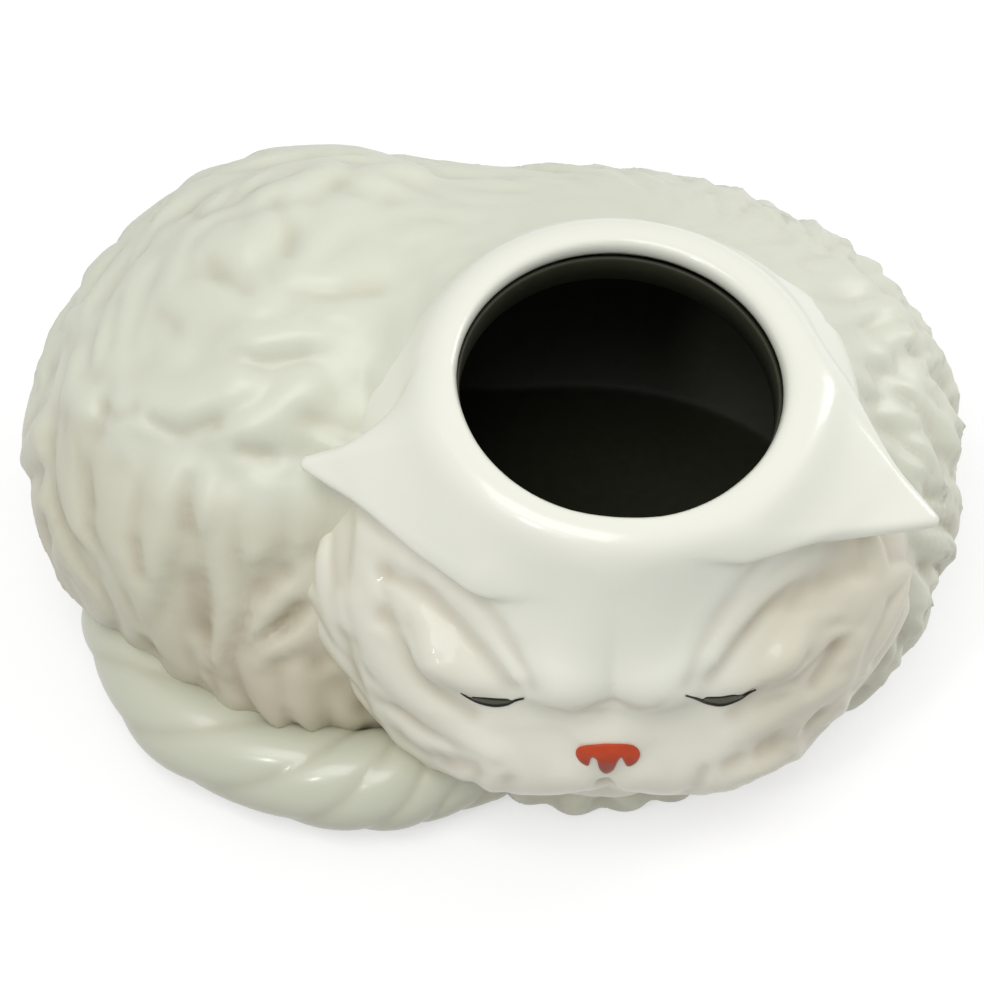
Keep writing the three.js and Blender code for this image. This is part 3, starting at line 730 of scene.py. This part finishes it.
FACE_GROOVES = (
    # between the tufts of the jaw
    (((508, 780), (526, 796)), 2.6, 1.2),
    (((478, 772), (496, 795)), 2.6, 1.4),
    (((706, 772), (688, 794)), 2.6, 1.2),
    # left lid and cheek
    (((447, 567), (474, 592), (495, 622), (513, 650), (527, 684)), 3.5, 0.9),
    (((390, 572), (430, 598), (462, 629), (488, 658), (508, 684)), 4.1, 1.4),
    (((384, 616), (408, 656), (425, 683), (443, 698), (470, 714)), 3.2, 1.2),
    (((399, 709), (422, 727), (455, 745), (496, 766)), 2.6, 0.9),
    (((446, 760), (474, 766)), 4.3, 1.4),
    (((350, 640), (360, 680)), 3.5, 1.2),
    # right lid and cheek
    (((756, 566), (722, 612), (699, 652), (689, 684)), 3.5, 0.9),
    (((852, 572), (810, 587), (764, 612), (735, 645), (712, 680)), 3.5, 1.2),
    (((806, 656), (766, 687), (735, 713)), 2.9, 0.9),
    (((836, 650), (814, 684)), 3.5, 1.6),
    (((818, 716), (810, 724)), 3.2, 1.5),
    (((776, 745), (764, 752)), 4.6, 2.0),
    (((740, 761), (730, 766)), 3.8, 1.6),
    # bridge of the nose
    (((556, 710), (570, 716), (584, 712), (597, 705), (612, 701)), 1.7, 0.6),
    (((612, 701), (622, 704), (634, 710), (650, 710), (664, 704)), 1.7, 0.6),
    # mouth
    (((598, 782), (611, 782)), 1.8, 2.2),
    (((588, 788), (574, 793)), 1.7, 0.6),
    (((620, 788), (636, 792)), 1.7, 0.6),
)
HEAD_BOX = (-62, -92, 10), (124, 78, 142)
head_points, head_quads, head_normals = sculpt(head_form, *HEAD_BOX, HEAD_GRID)
outer_face = hollow_skin(head_points) > WALL * OUTER_SHARE
ridges, grooves = relief(head_points, FACE_RIDGES), relief(head_points, FACE_GROOVES)
print(len(FACE_RIDGES), "ridges and", len(FACE_GROOVES), "grooves")

# %% [markdown]
# Under the strokes, three rings of short locks fan out from the muzzle over each cheek. A ring has its
# start and length in degrees from the fan's middle, its number of locks, and their width and height.

# %% Locks of the cheeks
SKULL_MIDDLE = np.array((FACE_X, -18.0, 60.0))
CHEEK_START, CHEEK_END = 50.0, -96.0
CHEEK_ROWS = (
    (18, 24, 12, 5.0, 1.8),
    (33, 26, 15, 5.5, 2.4),
    (50, 28, 18, 6.0, 3.0),
)
FACE_TURN, FAN_TURN, FAN_RISE, FAN_BEND, FAN_REACH = -90, 8, 6, 9, 65


def cheek_height(points):
    turn, rise = bearings_from(points, SKULL_MIDDLE)
    right = points[:, 0] > FACE_X
    across, above = np.abs(turn - FACE_TURN) - FAN_TURN, rise - FAN_RISE
    out, fan = np.hypot(across, above), np.degrees(np.arctan2(above, across))
    height = np.zeros(len(points))
    for row, (start, length, count, width, lift) in enumerate(CHEEK_ROWS):
        spacing = (CHEEK_START - CHEEK_END) / count
        near = np.floor((CHEEK_START - fan) / spacing)
        for step in LOCK_STEPS:
            number = near + step + count * right
            share = (out - start) / length + LOCK_WANDER * chance(number, row, 0)
            bend = FAN_BEND * np.sin(math.pi * LOCK_WAVE * (share + chance(number, row, 1)))
            middle = CHEEK_START - (near + step + LOCK_WANDER * chance(number, row, 2)) * spacing + bend
            aside = np.radians(fan - middle) * np.radians(out) * FAN_REACH
            rib = lock_rib(share, aside, width, lift)
            height = np.maximum(height, rib * (near + step >= 0) * (near + step <= count))
    return height


head_lift = cheek_height(head_points)
print("highest cheek lock", head_lift.max().round(2), "mm")

# %% [markdown]
# The muzzle, the eyelids and the cap stay bare, and strokes press the small locks down where they run.

# %% Lift the face
MUZZLE_HEIGHT, MUZZLE_BARE = 51.6, (24, 34)
EYE_SIDE, EYE_HEIGHT, EYE_BARE = 29, 75, (11, 21)
EAR_BARE, CAP_BARE = (3, 9), (100, 90)
half = folded(head_points)
from_muzzle = np.hypot(half[:, 0], half[:, 2] - MUZZLE_HEIGHT)
from_eye = np.hypot(half[:, 0] - EYE_SIDE, half[:, 2] - EYE_HEIGHT)
from_ears = ear_skin(head_points)
cap = step_between(*EAR_BARE, from_ears) * step_between(*CAP_BARE, half[:, 2])
head_lift *= step_between(*MUZZLE_BARE, from_muzzle) * step_between(*EYE_BARE, from_eye) * cap
head_lift = head_lift * np.exp(-ridges - grooves) + ridges - grooves
ends, degree = neighbours(head_quads, len(head_points))
head_lift = eased(head_lift[:, None], ends, degree, 1)[:, 0] * outer_face
head_points = head_points + head_normals * head_lift[:, None]
print("the face moves by", head_lift.min().round(2), "to", head_lift.max().round(2), "mm")

# %% [markdown]
# The head's attributes tell the glaze where hollows lie, where shade is painted on the low face and the
# cheeks, more on the right cheek, where the dark lining begins inside the lip, and where carved fur takes
# the shine off.

# %% Wash and painted shade of the head
FACE_HOLLOW, LIP_DARK, LIP_REACH = 1.4, (-2.6, -3.6), (2.5, 1.5)
MID_FACE, MID_SHADE, LOW_FACE, CHIN_SHADE = (90, 60), 0.35, (60, 20), 0.65
CHEEK_SIDE, CHEEK_TOP, CHEEK_SHADE, RIGHT_SHADE = (20, 44), (106, 90), 0.6, 0.4
FUR_TOP, FUR_EARS, FUR_MUZZLE = (102, 86), (0, 12), (14, 44)
x, _, z = head_points.T
broad = eased(head_lift[:, None], ends, degree, rounds_for(HEAD_GRID))[:, 0]
mouth_reach, mouth_height = over_mouth(head_points)
in_mouth = step_between(*LIP_DARK, mouth_height)
in_mouth *= step_between(*(MOUTH_RADIUS + reach for reach in LIP_REACH), mouth_reach)
# Painted shade: darker towards the chin and on the cheeks, most on the right cheek.
painted_face_shade = MID_SHADE * step_between(*MID_FACE, z) + CHIN_SHADE * step_between(*LOW_FACE, z)
cheek = step_between(*CHEEK_SIDE, half[:, 0]) * step_between(*CHEEK_TOP, half[:, 2])
furry = step_between(*FUR_TOP, half[:, 2]) * step_between(*FUR_EARS, from_ears)
head = to_mesh("head", head_points, head_quads, {
    "recess": np.clip((broad - head_lift) / FACE_HOLLOW, 0, 1),
    "shade": np.maximum(painted_face_shade, (CHEEK_SHADE + RIGHT_SHADE * (x > FACE_X)) * cheek),
    "inside": in_mouth,
    "furry": furry * step_between(*FUR_MUZZLE, from_muzzle)})

# %% [markdown]
# ## The tail
# A thick tapered roll of clay with twisted grooves, curled round the foot. A bevelled curve would do
# for a plain roll. Here rings are set along a smooth course, so that each ring can carry its turned
# grooves. A point of the course has its place and the roll's radius there.

# %% Course of the tail
TAIL = (
    (-108, 18, 15.6, 15), (-107, -0.6, 15.6, 15), (-102, -18.3, 15.6, 15), (-87, -44, 15, 14.4),
    (-55, -60, 15, 14.4), (-33, -63, 15, 14.4), (-18, -60, 13.6, 13), (-3, -56, 10.6, 10),
)
TAIL_RINGS, TAIL_SIDES, TAIL_CAP, TAIL_POINT = 150, 72, 10, 0.03


def smooth_through(values, count):
    values = np.array(values, float)
    padded = np.vstack([2 * values[0] - values[1], values, 2 * values[-1] - values[-2]])
    places = np.linspace(0, len(values) - 1, count)
    first = np.minimum(places.astype(int), len(values) - 2)
    t = (places - first)[:, None]
    a, b, c, d = (padded[first + k] for k in range(4))
    square, cube = 2 * a - 5 * b + 4 * c - d, 3 * b - a - 3 * c + d
    return 0.5 * (2 * b + (c - a) * t + square * t * t + cube * t ** 3)


course = smooth_through(TAIL, TAIL_RINGS)
line, thick = course[:, :3], course[:, 3]
ahead = np.gradient(line, axis=0)
ahead /= np.linalg.norm(ahead, axis=-1, keepdims=True)
bend = np.linspace(-math.pi / 2, 0, TAIL_CAP, endpoint=False)
start = line[0] + thick[0] * np.sin(bend)[:, None] * ahead[0]
finish = line[-1] - thick[-1] * np.sin(bend[::-1])[:, None] * ahead[-1]
middles = np.vstack([start, line, finish])
headings = np.vstack([np.repeat(ahead[:1], TAIL_CAP, 0), ahead, np.repeat(ahead[-1:], TAIL_CAP, 0)])
cap_round = np.maximum(np.cos(bend), TAIL_POINT)
around = np.concatenate([thick[0] * cap_round, thick, thick[-1] * cap_round[::-1]])
aside = np.cross(headings, (0, 0, 1))
aside /= np.linalg.norm(aside, axis=-1, keepdims=True)
above = np.cross(aside, headings)
print("the tail is", np.linalg.norm(np.diff(line, axis=0), axis=-1).sum().round(1), "mm long")

# %% [markdown]
# Each ring's radius dips where a groove crosses it, and the grooves turn as they run along the roll.

# %% Tail
TAIL_RIBS, TAIL_TWIST, TAIL_GROOVE, GROOVE_SHARP = 4, -2.5, 0.065, 1.2
TAIL_FLOOR, TAIL_SHADE_HEIGHT = 0.4, (22, 4)
GROOVE_WASH, GROOVE_GAIN, GROOVE_START = 0.3, 1.5, 0.5
angle = np.linspace(0, 2 * math.pi, TAIL_SIDES, endpoint=False)[None, :]
share = np.linspace(0, 1, len(middles))[:, None]
rib = np.abs(np.sin(TAIL_RIBS / 2 * (angle + 2 * math.pi * TAIL_TWIST * share)))
tail_groove = (1 - rib) ** GROOVE_SHARP
radius = around[:, None] * (1 - TAIL_GROOVE * tail_groove)
ring = np.cos(angle)[..., None] * aside[:, None] + np.sin(angle)[..., None] * above[:, None]
tail_points = (middles[:, None] + radius[..., None] * ring).reshape(-1, 3)
tail_points[:, 2] = np.maximum(tail_points[:, 2], TAIL_FLOOR)
number = np.arange(len(tail_points)).reshape(len(middles), TAIL_SIDES)
beside = np.roll(number, -1, 1)
tail_faces = np.stack([number[:-1], number[1:], beside[1:], beside[:-1]], -1).reshape(-1, 4).tolist()
tail_faces += [number[0].tolist(), number[-1][::-1].tolist()]
tail_recess = GROOVE_WASH * np.clip(tail_groove.ravel() * GROOVE_GAIN - GROOVE_START, 0, 1)
# Painted shade: the roll turns darker in its lowest 22 mm, where it lies on the floor.
tail = to_mesh("tail_roll", tail_points, tail_faces, {
    "recess": tail_recess, "shade": step_between(*TAIL_SHADE_HEIGHT, tail_points[:, 2])})

# %% [markdown]
# ## The dark lining
# The inside of the real vase is coated with dark glaze up to just under the lip. Painting the shell's
# inner faces would do, but a lining of its own gives a crisp edge. It is a thin skin round the hollow,
# and a turned sleeve carries it up the throat, because a lathe-like ring has the cleanest rim.

# %% Lining
LINING_BOX, LINING_OUT, LINING_IN = ((-134, -82, 1), (132, 118, 138)), 2.6, 1.4
SLEEVE_SIDES, SLEEVE_FOOT, SLEEVE_LAP = 144, 13.0, 3
SLEEVE_PROFILE = (
    (41.5, -4.2), (41.2, -4.6), (41.1, -5.4), (41.1, -SLEEVE_FOOT),
    (43.0, -SLEEVE_FOOT), (43.0, -5.4), (42.2, -4.4),
)


def lining_form(points):
    _, height = over_mouth(points)
    void = np.minimum(hollow_skin(points), throat(points))
    coat = np.maximum(void - LINING_OUT, -void - LINING_IN)
    return np.maximum(coat, height + SLEEVE_FOOT - SLEEVE_LAP)


def sleeve():
    along = np.cross(mouth_axis, (0, 1, 0))
    along /= np.linalg.norm(along)
    across = np.cross(mouth_axis, along)
    turn = np.linspace(0, 2 * math.pi, SLEEVE_SIDES, endpoint=False)[None, :, None]
    radius, height = (np.array(values)[:, None, None] for values in zip(*SLEEVE_PROFILE))
    rings = MOUTH + height * mouth_axis + radius * (np.cos(turn) * along + np.sin(turn) * across)
    number = np.arange(rings.shape[0] * SLEEVE_SIDES).reshape(-1, SLEEVE_SIDES)
    below, beside = np.roll(number, -1, 0), np.roll(number, -1, 1)
    quads = np.stack([number, beside, np.roll(beside, -1, 0), below], -1)
    return rings.reshape(-1, 3), quads.reshape(-1, 4)


lining_points, lining_quads, _ = sculpt(lining_form, *LINING_BOX, LINING_GRID)
sleeve_points, sleeve_quads = sleeve()
lining_quads = np.vstack([lining_quads, sleeve_quads + len(lining_points)])
lining = to_mesh("lining", np.vstack([lining_points, sleeve_points]), lining_quads)

# %% [markdown]
# ## The nose
# A red pad with a notch for each nostril, painted thickly over the muzzle. A decal would need an image,
# so the pad is a thin layer of clay on the face, cut to its outline as the camera sees it. The
# outline's turning points, in pixels, are joined by a smooth curve.

# %% Nose
NOSE_TURNS = (
    (606, 743.5), (632, 745), (640.3, 753.5), (636, 763), (628, 766.8), (624, 762), (621.5, 757.5),
    (617.5, 762), (613, 770.5), (605.5, 774), (599.5, 769), (596.5, 760), (591.5, 757.8), (589.6, 762),
    (587.5, 766), (579.5, 761.5), (575.5, 753), (581, 746.2), (606, 743.5),
)
NOSE_STEPS = 73
NOSE_OUTLINE = smooth_through(NOSE_TURNS, NOSE_STEPS)[:-1]
NOSE_RISE, NOSE_EDGE, NOSE_GRID, NOSE_REACH, NOSE_LOW = 0.9, 0.7, 0.4, (12, 8, 10), (752, 772)
PIXEL_SIZE = DISTANCE / FOCAL_PIXELS


def outline_far(pixels, outline):
    corners = np.array(outline)
    far = np.full(len(pixels), FAR_AWAY)
    inside = np.zeros(len(pixels), bool)
    for a, b in zip(corners, np.roll(corners, -1, 0)):
        arm, side = pixels - a, b - a
        share = np.clip(arm @ side / (side @ side), 0, 1)
        far = np.minimum(far, np.linalg.norm(arm - share[:, None] * side, axis=-1))
        spans = (a[1] > pixels[:, 1]) != (b[1] > pixels[:, 1])
        rise = side[1] if side[1] else TINY
        inside ^= spans & (pixels[:, 0] < a[0] + side[0] * (pixels[:, 1] - a[1]) / rise)
    return np.where(inside, -far, far)


def nose_form(points):
    flat = points.reshape(-1, 3)
    across = outline_far(pixel_of(flat), NOSE_OUTLINE).reshape(points.shape[:-1]) * PIXEL_SIZE
    return soft_max(across, np.abs(bare_head(points)) - NOSE_RISE, NOSE_EDGE)


nose_middle = np.mean([seen(pixel) for pixel in NOSE_OUTLINE], 0)
nose_box = nose_middle - NOSE_REACH, nose_middle + NOSE_REACH
nose_points, nose_quads, _ = sculpt(nose_form, *nose_box, NOSE_GRID)
nose_low = step_between(*NOSE_LOW, pixel_of(nose_points)[:, 1])
nose = to_mesh("nose", nose_points, nose_quads, {"shade": nose_low})

# %% [markdown]
# ## The closed eyes
# Each eye is painted: a long lower stroke and a short upper one, thin at the ends as a brush leaves
# them, with a dark slit between. Grease pencil or a curve would float over the face, so the strokes are
# tapering rods through points on the skin, and the slit is a strip of thin flaps.

# %% Eye lines
LEFT_EYE_PIXELS = (
    ((460.5, 692.8), (468, 697), (478, 701.5), (489, 704.2),
     (498, 705), (508, 703.5), (515, 700.5), (527.5, 698)),
    ((473.5, 696.8), (484, 697.6), (496, 698.8), (509, 699.6)),
)
RIGHT_EYE_PIXELS = (
    ((686, 695.8), (695, 698), (704, 701.5), (714, 703.8), (722, 704.3),
     (731, 702), (741, 698), (749, 692.8), (759, 688.5)),
    ((706, 697.3), (720, 696.8), (733, 694.8), (738, 695.6)),
)
LOWER_LINE, UPPER_LINE, SLIT, STROKE_END = 0.62, 0.45, 0.28, 0.4
STROKE_POINTS, LOWER_EVERY, UPPER_EVERY = 48, 3, 5
EYE_GRID, EYE_MARGIN, SLIT_SHADE = 0.28, 3, (0.05, 0.3)


def stroke_form(points, stroke, radius):
    form = np.full(points.shape[:-1], FAR_AWAY)
    count = len(stroke) - 1
    swell = 1 - STROKE_END
    for i, (a, b) in enumerate(zip(stroke, stroke[1:])):
        near, far = (radius * (STROKE_END + swell * math.sin(math.pi * k / count)) for k in (i, i + 1))
        form = np.minimum(form, rod(points, a, near, b, far))
    return form


def eye_form(strokes):
    lower, upper = (smooth_through([seen(pixel) for pixel in stroke], STROKE_POINTS) for stroke in strokes)
    first, last = (np.argmin(np.linalg.norm(lower - end, axis=-1)) for end in (upper[0], upper[-1]))
    upper = upper[::UPPER_EVERY]
    under = lower[np.linspace(first, last, len(upper)).astype(int)]
    lower = lower[::LOWER_EVERY]
    slit = list(zip(under, upper, under[1:])) + list(zip(upper, under[1:], upper[1:]))

    def lines(points):
        return np.minimum(stroke_form(points, lower, LOWER_LINE), stroke_form(points, upper, UPPER_LINE))

    def skin(points):
        form = lines(points)
        for corners in slit:
            form = np.minimum(form, flap(points, corners, (SLIT, SLIT, SLIT)))
        return form

    return skin, lines, np.vstack([lower, upper])


eyes = {}
for name, strokes in (("left", LEFT_EYE_PIXELS), ("right", RIGHT_EYE_PIXELS)):
    skin, lines, stroke = eye_form(strokes)
    eye_box = stroke.min(0) - EYE_MARGIN, stroke.max(0) + EYE_MARGIN
    eye_points, eye_quads, _ = sculpt(skin, *eye_box, EYE_GRID)
    slit_shade = step_between(*SLIT_SHADE, lines(eye_points))
    eyes[name] = to_mesh(name + "_eye", eye_points, eye_quads, {"shade": slit_shade})

# %% [markdown]
# ## Node helpers
# Materials are node trees. One function turns a colour as a paint chart writes it, in sRGB hex, into
# the linear numbers that shaders use, and one small function adds a node with its settings, values and
# links.

# %% Node helpers
def linear(hex_colour):
    channels = [int(hex_colour[i:i + 2], 16) / 255 for i in (0, 2, 4)]
    return tuple(c / 12.92 if c <= 0.04045 else ((c + 0.055) / 1.055) ** 2.4 for c in channels) + (1.0,)


def add_node(material, kind, settings=None, inputs=None, links=None):
    tree = material.node_tree
    node = tree.nodes.new(kind)
    for key, value in (settings or {}).items():
        setattr(node, key, value)
    for key, value in (inputs or {}).items():
        node.inputs[key].default_value = value
    for key, source in (links or {}).items():
        tree.links.new(source, node.inputs[key])
    return node


def empty_material(name):
    material = bpy.data.materials.new(name)
    material.use_nodes = True
    material.node_tree.nodes.clear()
    return material


print("half grey in linear light:", [round(c, 3) for c in linear("808080")[:3]])

# %% [markdown]
# ## Glaze
# Cream glaze is a layer of glass over fired clay: IOR about 1.5, glossy, with a clear coat. It is
# slightly cloudy, and a brown wash is left in the hollows where it was wiped off the tips. An image
# texture could be painted, but the mesh already knows its hollows, so the glaze mixes its colours by
# those attributes.

# %% Glaze
GLASS_IOR = 1.5
# Sizes are in mm: a dipped glaze clouds over a few centimetres.
MOTTLE_SIZE, MOTTLE_DETAIL, MOTTLE_GAIN, MOTTLE_BASE = 26.3, 4.0, 0.7, 0.4
# Real pinholes are under 1 mm: they are drawn coarser so that they show.
GRAIN_SIZE, GRAIN_DETAIL, GRAIN_BUMP, GRAIN_HEIGHT = 2.38, 3.0, 0.06, 0.6
WASH_GAIN, INSIDE_ROUGH, FUR_ROUGH = 1.1, 0.4, 0.16
INSIDE_DARK = "33342A"


def glaze(name, pale, washed, low, roughness, coat, coat_roughness):
    material = empty_material(name)
    place = add_node(material, "ShaderNodeTexCoord").outputs["Object"]
    mottle, grain = (
        add_node(
            material, "ShaderNodeTexNoise", None,
            {"Scale": 1 / (size * MM), "Detail": detail}, {"Vector": place}).outputs["Fac"]
        for size, detail in ((MOTTLE_SIZE, MOTTLE_DETAIL), (GRAIN_SIZE, GRAIN_DETAIL)))
    recess, shade, inside, furry = (
        add_node(material, "ShaderNodeAttribute", {"attribute_name": kept}).outputs["Fac"]
        for kept in ("recess", "shade", "inside", "furry"))
    # The shade attribute mixes in the low colour: this is painted shade.
    colour = add_node(
        material, "ShaderNodeMix", {"data_type": "RGBA"},
        {"A": linear(pale), "B": linear(low)}, {"Factor": shade})
    cloud = add_node(
        material, "ShaderNodeMath", {"operation": "MULTIPLY_ADD"},
        {1: MOTTLE_GAIN, 2: MOTTLE_BASE}, {0: mottle})
    wash = add_node(
        material, "ShaderNodeMath", {"operation": "MULTIPLY"}, None,
        {0: recess, 1: cloud.outputs[0]})
    wash = add_node(
        material, "ShaderNodeMath", {"operation": "MULTIPLY", "use_clamp": True},
        {1: WASH_GAIN}, {0: wash.outputs[0]})
    colour = add_node(
        material, "ShaderNodeMix", {"data_type": "RGBA"}, {"B": linear(washed)},
        {"Factor": wash.outputs[0], "A": colour.outputs["Result"]})
    colour = add_node(
        material, "ShaderNodeMix", {"data_type": "RGBA"}, {"B": linear(INSIDE_DARK)},
        {"Factor": inside, "A": colour.outputs["Result"]})
    rough = add_node(
        material, "ShaderNodeMath", {"operation": "MULTIPLY_ADD"},
        {1: INSIDE_ROUGH, 2: roughness}, {0: inside})
    rough = add_node(
        material, "ShaderNodeMath", {"operation": "MULTIPLY_ADD"}, {1: FUR_ROUGH},
        {0: furry, 2: rough.outputs[0]})
    bump = add_node(
        material, "ShaderNodeBump", None,
        {"Strength": GRAIN_BUMP, "Distance": GRAIN_HEIGHT * MM}, {"Height": grain})
    shader = add_node(
        material, "ShaderNodeBsdfPrincipled", None,
        {"Coat Weight": coat, "Coat Roughness": coat_roughness, "IOR": GLASS_IOR},
        {"Base Color": colour.outputs["Result"], "Roughness": rough.outputs[0],
         "Normal": bump.outputs["Normal"]})
    add_node(material, "ShaderNodeOutputMaterial", None, None, {"Surface": shader.outputs["BSDF"]})
    return material


# Semi-matt cream glaze over carved fur: a broad soft shine, and a strong brown wash between the locks.
# Its third colour is painted shade, low on the body, on the left flank and beside the head.
fur_glaze = glaze("fur glaze", "D6D8C7", "9C8F75", "C2BBA5", 0.42, 0.12, 0.25)
# Clear glossy cream glaze on the cap, the collar and the face: the whitest part, with crisp reflections.
# Its third colour is painted shade on the low face and the cheeks.
cream_glaze = glaze("cream glaze", "E9EADD", "B6AB95", "D6D1BF", 0.3, 0.3, 0.06)
# The same glaze over a greyer slip on the tail: long soft lights along the roll.
# Its third colour is painted shade low on the roll, near the floor.
tail_glaze = glaze("tail glaze", "C9CBB8", "A0977F", "B9B8A3", 0.3, 0.25, 0.12)
print("glazes:", [material.name for material in (fur_glaze, cream_glaze, tail_glaze)])

# %% [markdown]
# ## Enamel
# The nose, the eye lines and the dark inside are coloured enamel, brushed on and fired. The brush
# leaves the layer thinner and thicker in streaks of a few millimetres, so two tones are mixed by a
# noise of that size, with a little bump, and the mesh says where a second tone lies.

# %% Enamel
STREAK_SIZE, STREAK_DETAIL, STREAK_BUMP, STREAK_HEIGHT = 3.85, 5.0, 0.1, 0.4


def enamel(name, pale, deep, second, roughness, shine):
    material = empty_material(name)
    place = add_node(material, "ShaderNodeTexCoord").outputs["Object"]
    streak = add_node(
        material, "ShaderNodeTexNoise", None,
        {"Scale": 1 / (STREAK_SIZE * MM), "Detail": STREAK_DETAIL}, {"Vector": place}).outputs["Fac"]
    colour = add_node(
        material, "ShaderNodeMix", {"data_type": "RGBA"},
        {"A": linear(pale), "B": linear(deep)}, {"Factor": streak})
    shade = add_node(material, "ShaderNodeAttribute", {"attribute_name": "shade"})
    colour = add_node(
        material, "ShaderNodeMix", {"data_type": "RGBA"}, {"B": linear(second)},
        {"Factor": shade.outputs["Fac"], "A": colour.outputs["Result"]})
    bump = add_node(
        material, "ShaderNodeBump", None,
        {"Strength": STREAK_BUMP, "Distance": STREAK_HEIGHT * MM}, {"Height": streak})
    shader = add_node(
        material, "ShaderNodeBsdfPrincipled", None, {"Roughness": roughness, "Specular IOR Level": shine},
        {"Base Color": colour.outputs["Result"], "Normal": bump.outputs["Normal"]})
    add_node(material, "ShaderNodeOutputMaterial", None, None, {"Surface": shader.outputs["BSDF"]})
    return material


# Dark satin glaze poured into the hollow and out again: nearly black, with a dull shine.
dark_glaze = enamel("dark inner glaze", "3A3B2D", "2C2D22", "2C2D22", 0.55, 0.3)
# Red-orange enamel, darker and browner towards the bottom of the pad.
red_enamel = enamel("red enamel", "CC4C27", "B63E1C", "8F2E12", 0.38, 0.25)
# Black brush line with a greyer slit where the enamel is thin.
black_enamel = enamel("black enamel", "1A1D16", "0E100B", "4C4C3B", 0.4, 0.2)
print("enamels:", [material.name for material in (dark_glaze, red_enamel, black_enamel)])

# %% [markdown]
# ## Finish the pieces
# Each piece takes its glaze, rides on the one body of the vase, and stands for the CAD solids that it
# covers.

# %% Pieces and their CAD nodes
for piece, material, slot, nodes in (
    (body, fur_glaze, "fur_glaze", ("body_shell",)),
    (head, cream_glaze, "cream_glaze", ("head_shell", "left_ear", "right_ear")),
    (tail, tail_glaze, "tail_glaze", ("tail",)),
    (lining, dark_glaze, "dark_glaze", ("inner_glaze",)),
    (nose, red_enamel, "red_enamel", ("nose_enamel",)),
    (eyes["left"], black_enamel, "black_enamel", ("left_eye_line",)),
    (eyes["right"], black_enamel, "black_enamel", ("right_eye_line",)),
):
    piece.data.materials.append(material)
    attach(piece, "root")
    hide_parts(*nodes)
    print(piece.name, "stands for", ", ".join(nodes))

# %% [markdown]
# ## Studio
# The vase stands on a white sweep. The floor and the sky are lit so that they read as white to the
# camera and in reflections, but they send less light onto the glaze, so pale clay keeps its tones. A
# shader mix by the kind of ray does that without any extra lamp.

# %% Floor
SWEEP_SIZE, SWEEP_DROP, SWEEP_GLOW = 8.0, 0.0004, 0.56
SWEEP_DIM, SWEEP_PAPER = "B4B4B0", "BCBCBC"


def white_floor():
    material = empty_material("white floor")
    rays = add_node(material, "ShaderNodeLightPath")
    shown = add_node(
        material, "ShaderNodeMath", {"operation": "MAXIMUM"}, None,
        {0: rays.outputs["Is Camera Ray"], 1: rays.outputs["Is Glossy Ray"]})
    shown = add_node(
        material, "ShaderNodeMath", {"operation": "MAXIMUM"}, None,
        {0: shown.outputs[0], 1: rays.outputs["Is Transmission Ray"]})
    dim = add_node(material, "ShaderNodeBsdfDiffuse", None, {"Color": linear(SWEEP_DIM)})
    paper = add_node(material, "ShaderNodeBsdfDiffuse", None, {"Color": linear(SWEEP_PAPER)})
    glow = add_node(material, "ShaderNodeEmission", None, {"Strength": SWEEP_GLOW})
    white = add_node(material, "ShaderNodeAddShader", None, None, {0: paper.outputs[0], 1: glow.outputs[0]})
    shader = add_node(
        material, "ShaderNodeMixShader", None, None,
        {0: shown.outputs[0], 1: dim.outputs[0], 2: white.outputs[0]})
    add_node(material, "ShaderNodeOutputMaterial", None, None, {"Surface": shader.outputs[0]})
    return material


bpy.ops.mesh.primitive_plane_add(size=SWEEP_SIZE, location=(0, 0, -SWEEP_DROP))
floor = bpy.context.object
floor.name = "floor"
floor.data.materials.append(white_floor())
print("floor", SWEEP_SIZE, "m wide")

# %% [markdown]
# One soft lamp above gives the form its shade, a small lamp on the left stands for a window and puts
# its light on the lip, and a fill on the right opens the far cheek. Area lamps are used because their
# size sets how soft a shadow is.

# %% Sky and lamps
SKY_LIGHT, SKY_IN_GLOSS = 0.56, 0.3
LAMP_AIM = Vector((0, 0, 0.06))
LAMPS = (
    ("top", (-0.2, -0.4, 1.15), (0.7, 0.5), 4.8),
    ("left window", (-0.5, -0.7, 0.95), (0.1, 0.14), 1.6),
    ("right fill", (1.0, 0.45, 0.6), (0.5, 0.5), 4.2),
)
world = bpy.data.worlds.new("studio")
bpy.context.scene.world = world
world.use_nodes = True
background = world.node_tree.nodes["Background"]
background.inputs["Color"].default_value = (1, 1, 1, 1)
sky_rays = add_node(world, "ShaderNodeLightPath")
sky = add_node(
    world, "ShaderNodeMath", {"operation": "MULTIPLY_ADD"},
    {1: SKY_IN_GLOSS, 2: SKY_LIGHT}, {0: sky_rays.outputs["Is Glossy Ray"]})
world.node_tree.links.new(sky.outputs[0], background.inputs["Strength"])

for name, place, size, watts in LAMPS:
    light = bpy.data.lights.new(name, "AREA")
    light.shape = "RECTANGLE"
    light.size, light.size_y = size
    light.energy = watts
    holder = bpy.data.objects.new(name, light)
    holder.location = place
    holder.rotation_euler = (LAMP_AIM - Vector(place)).to_track_quat("-Z", "Y").to_euler()
    bpy.context.scene.collection.objects.link(holder)
    print(name, "lamp:", watts, "W")

# %% [markdown]
# The camera is the one that placed the strokes, about 52 degrees above the horizon. Its lens follows
# from the focal length in pixels.

# %% Camera
SENSOR = 36.0
camera_data = bpy.data.cameras.new("camera")
camera_data.sensor_width = SENSOR
camera_data.lens = SENSOR * FOCAL_PIXELS / IMAGE_SIDE
camera = bpy.data.objects.new("camera", camera_data)
camera.location = Vector((camera_place - FOOT_MIDDLE) * MM)
camera.rotation_euler = Vector(-view_back).to_track_quat("-Z", "Y").to_euler()
bpy.context.scene.collection.objects.link(camera)
bpy.context.scene.camera = camera
bpy.context.scene.view_settings.view_transform = "Standard"
print("lens", round(camera_data.lens, 1), "mm, camera at", [round(v, 3) for v in camera.location], "m")
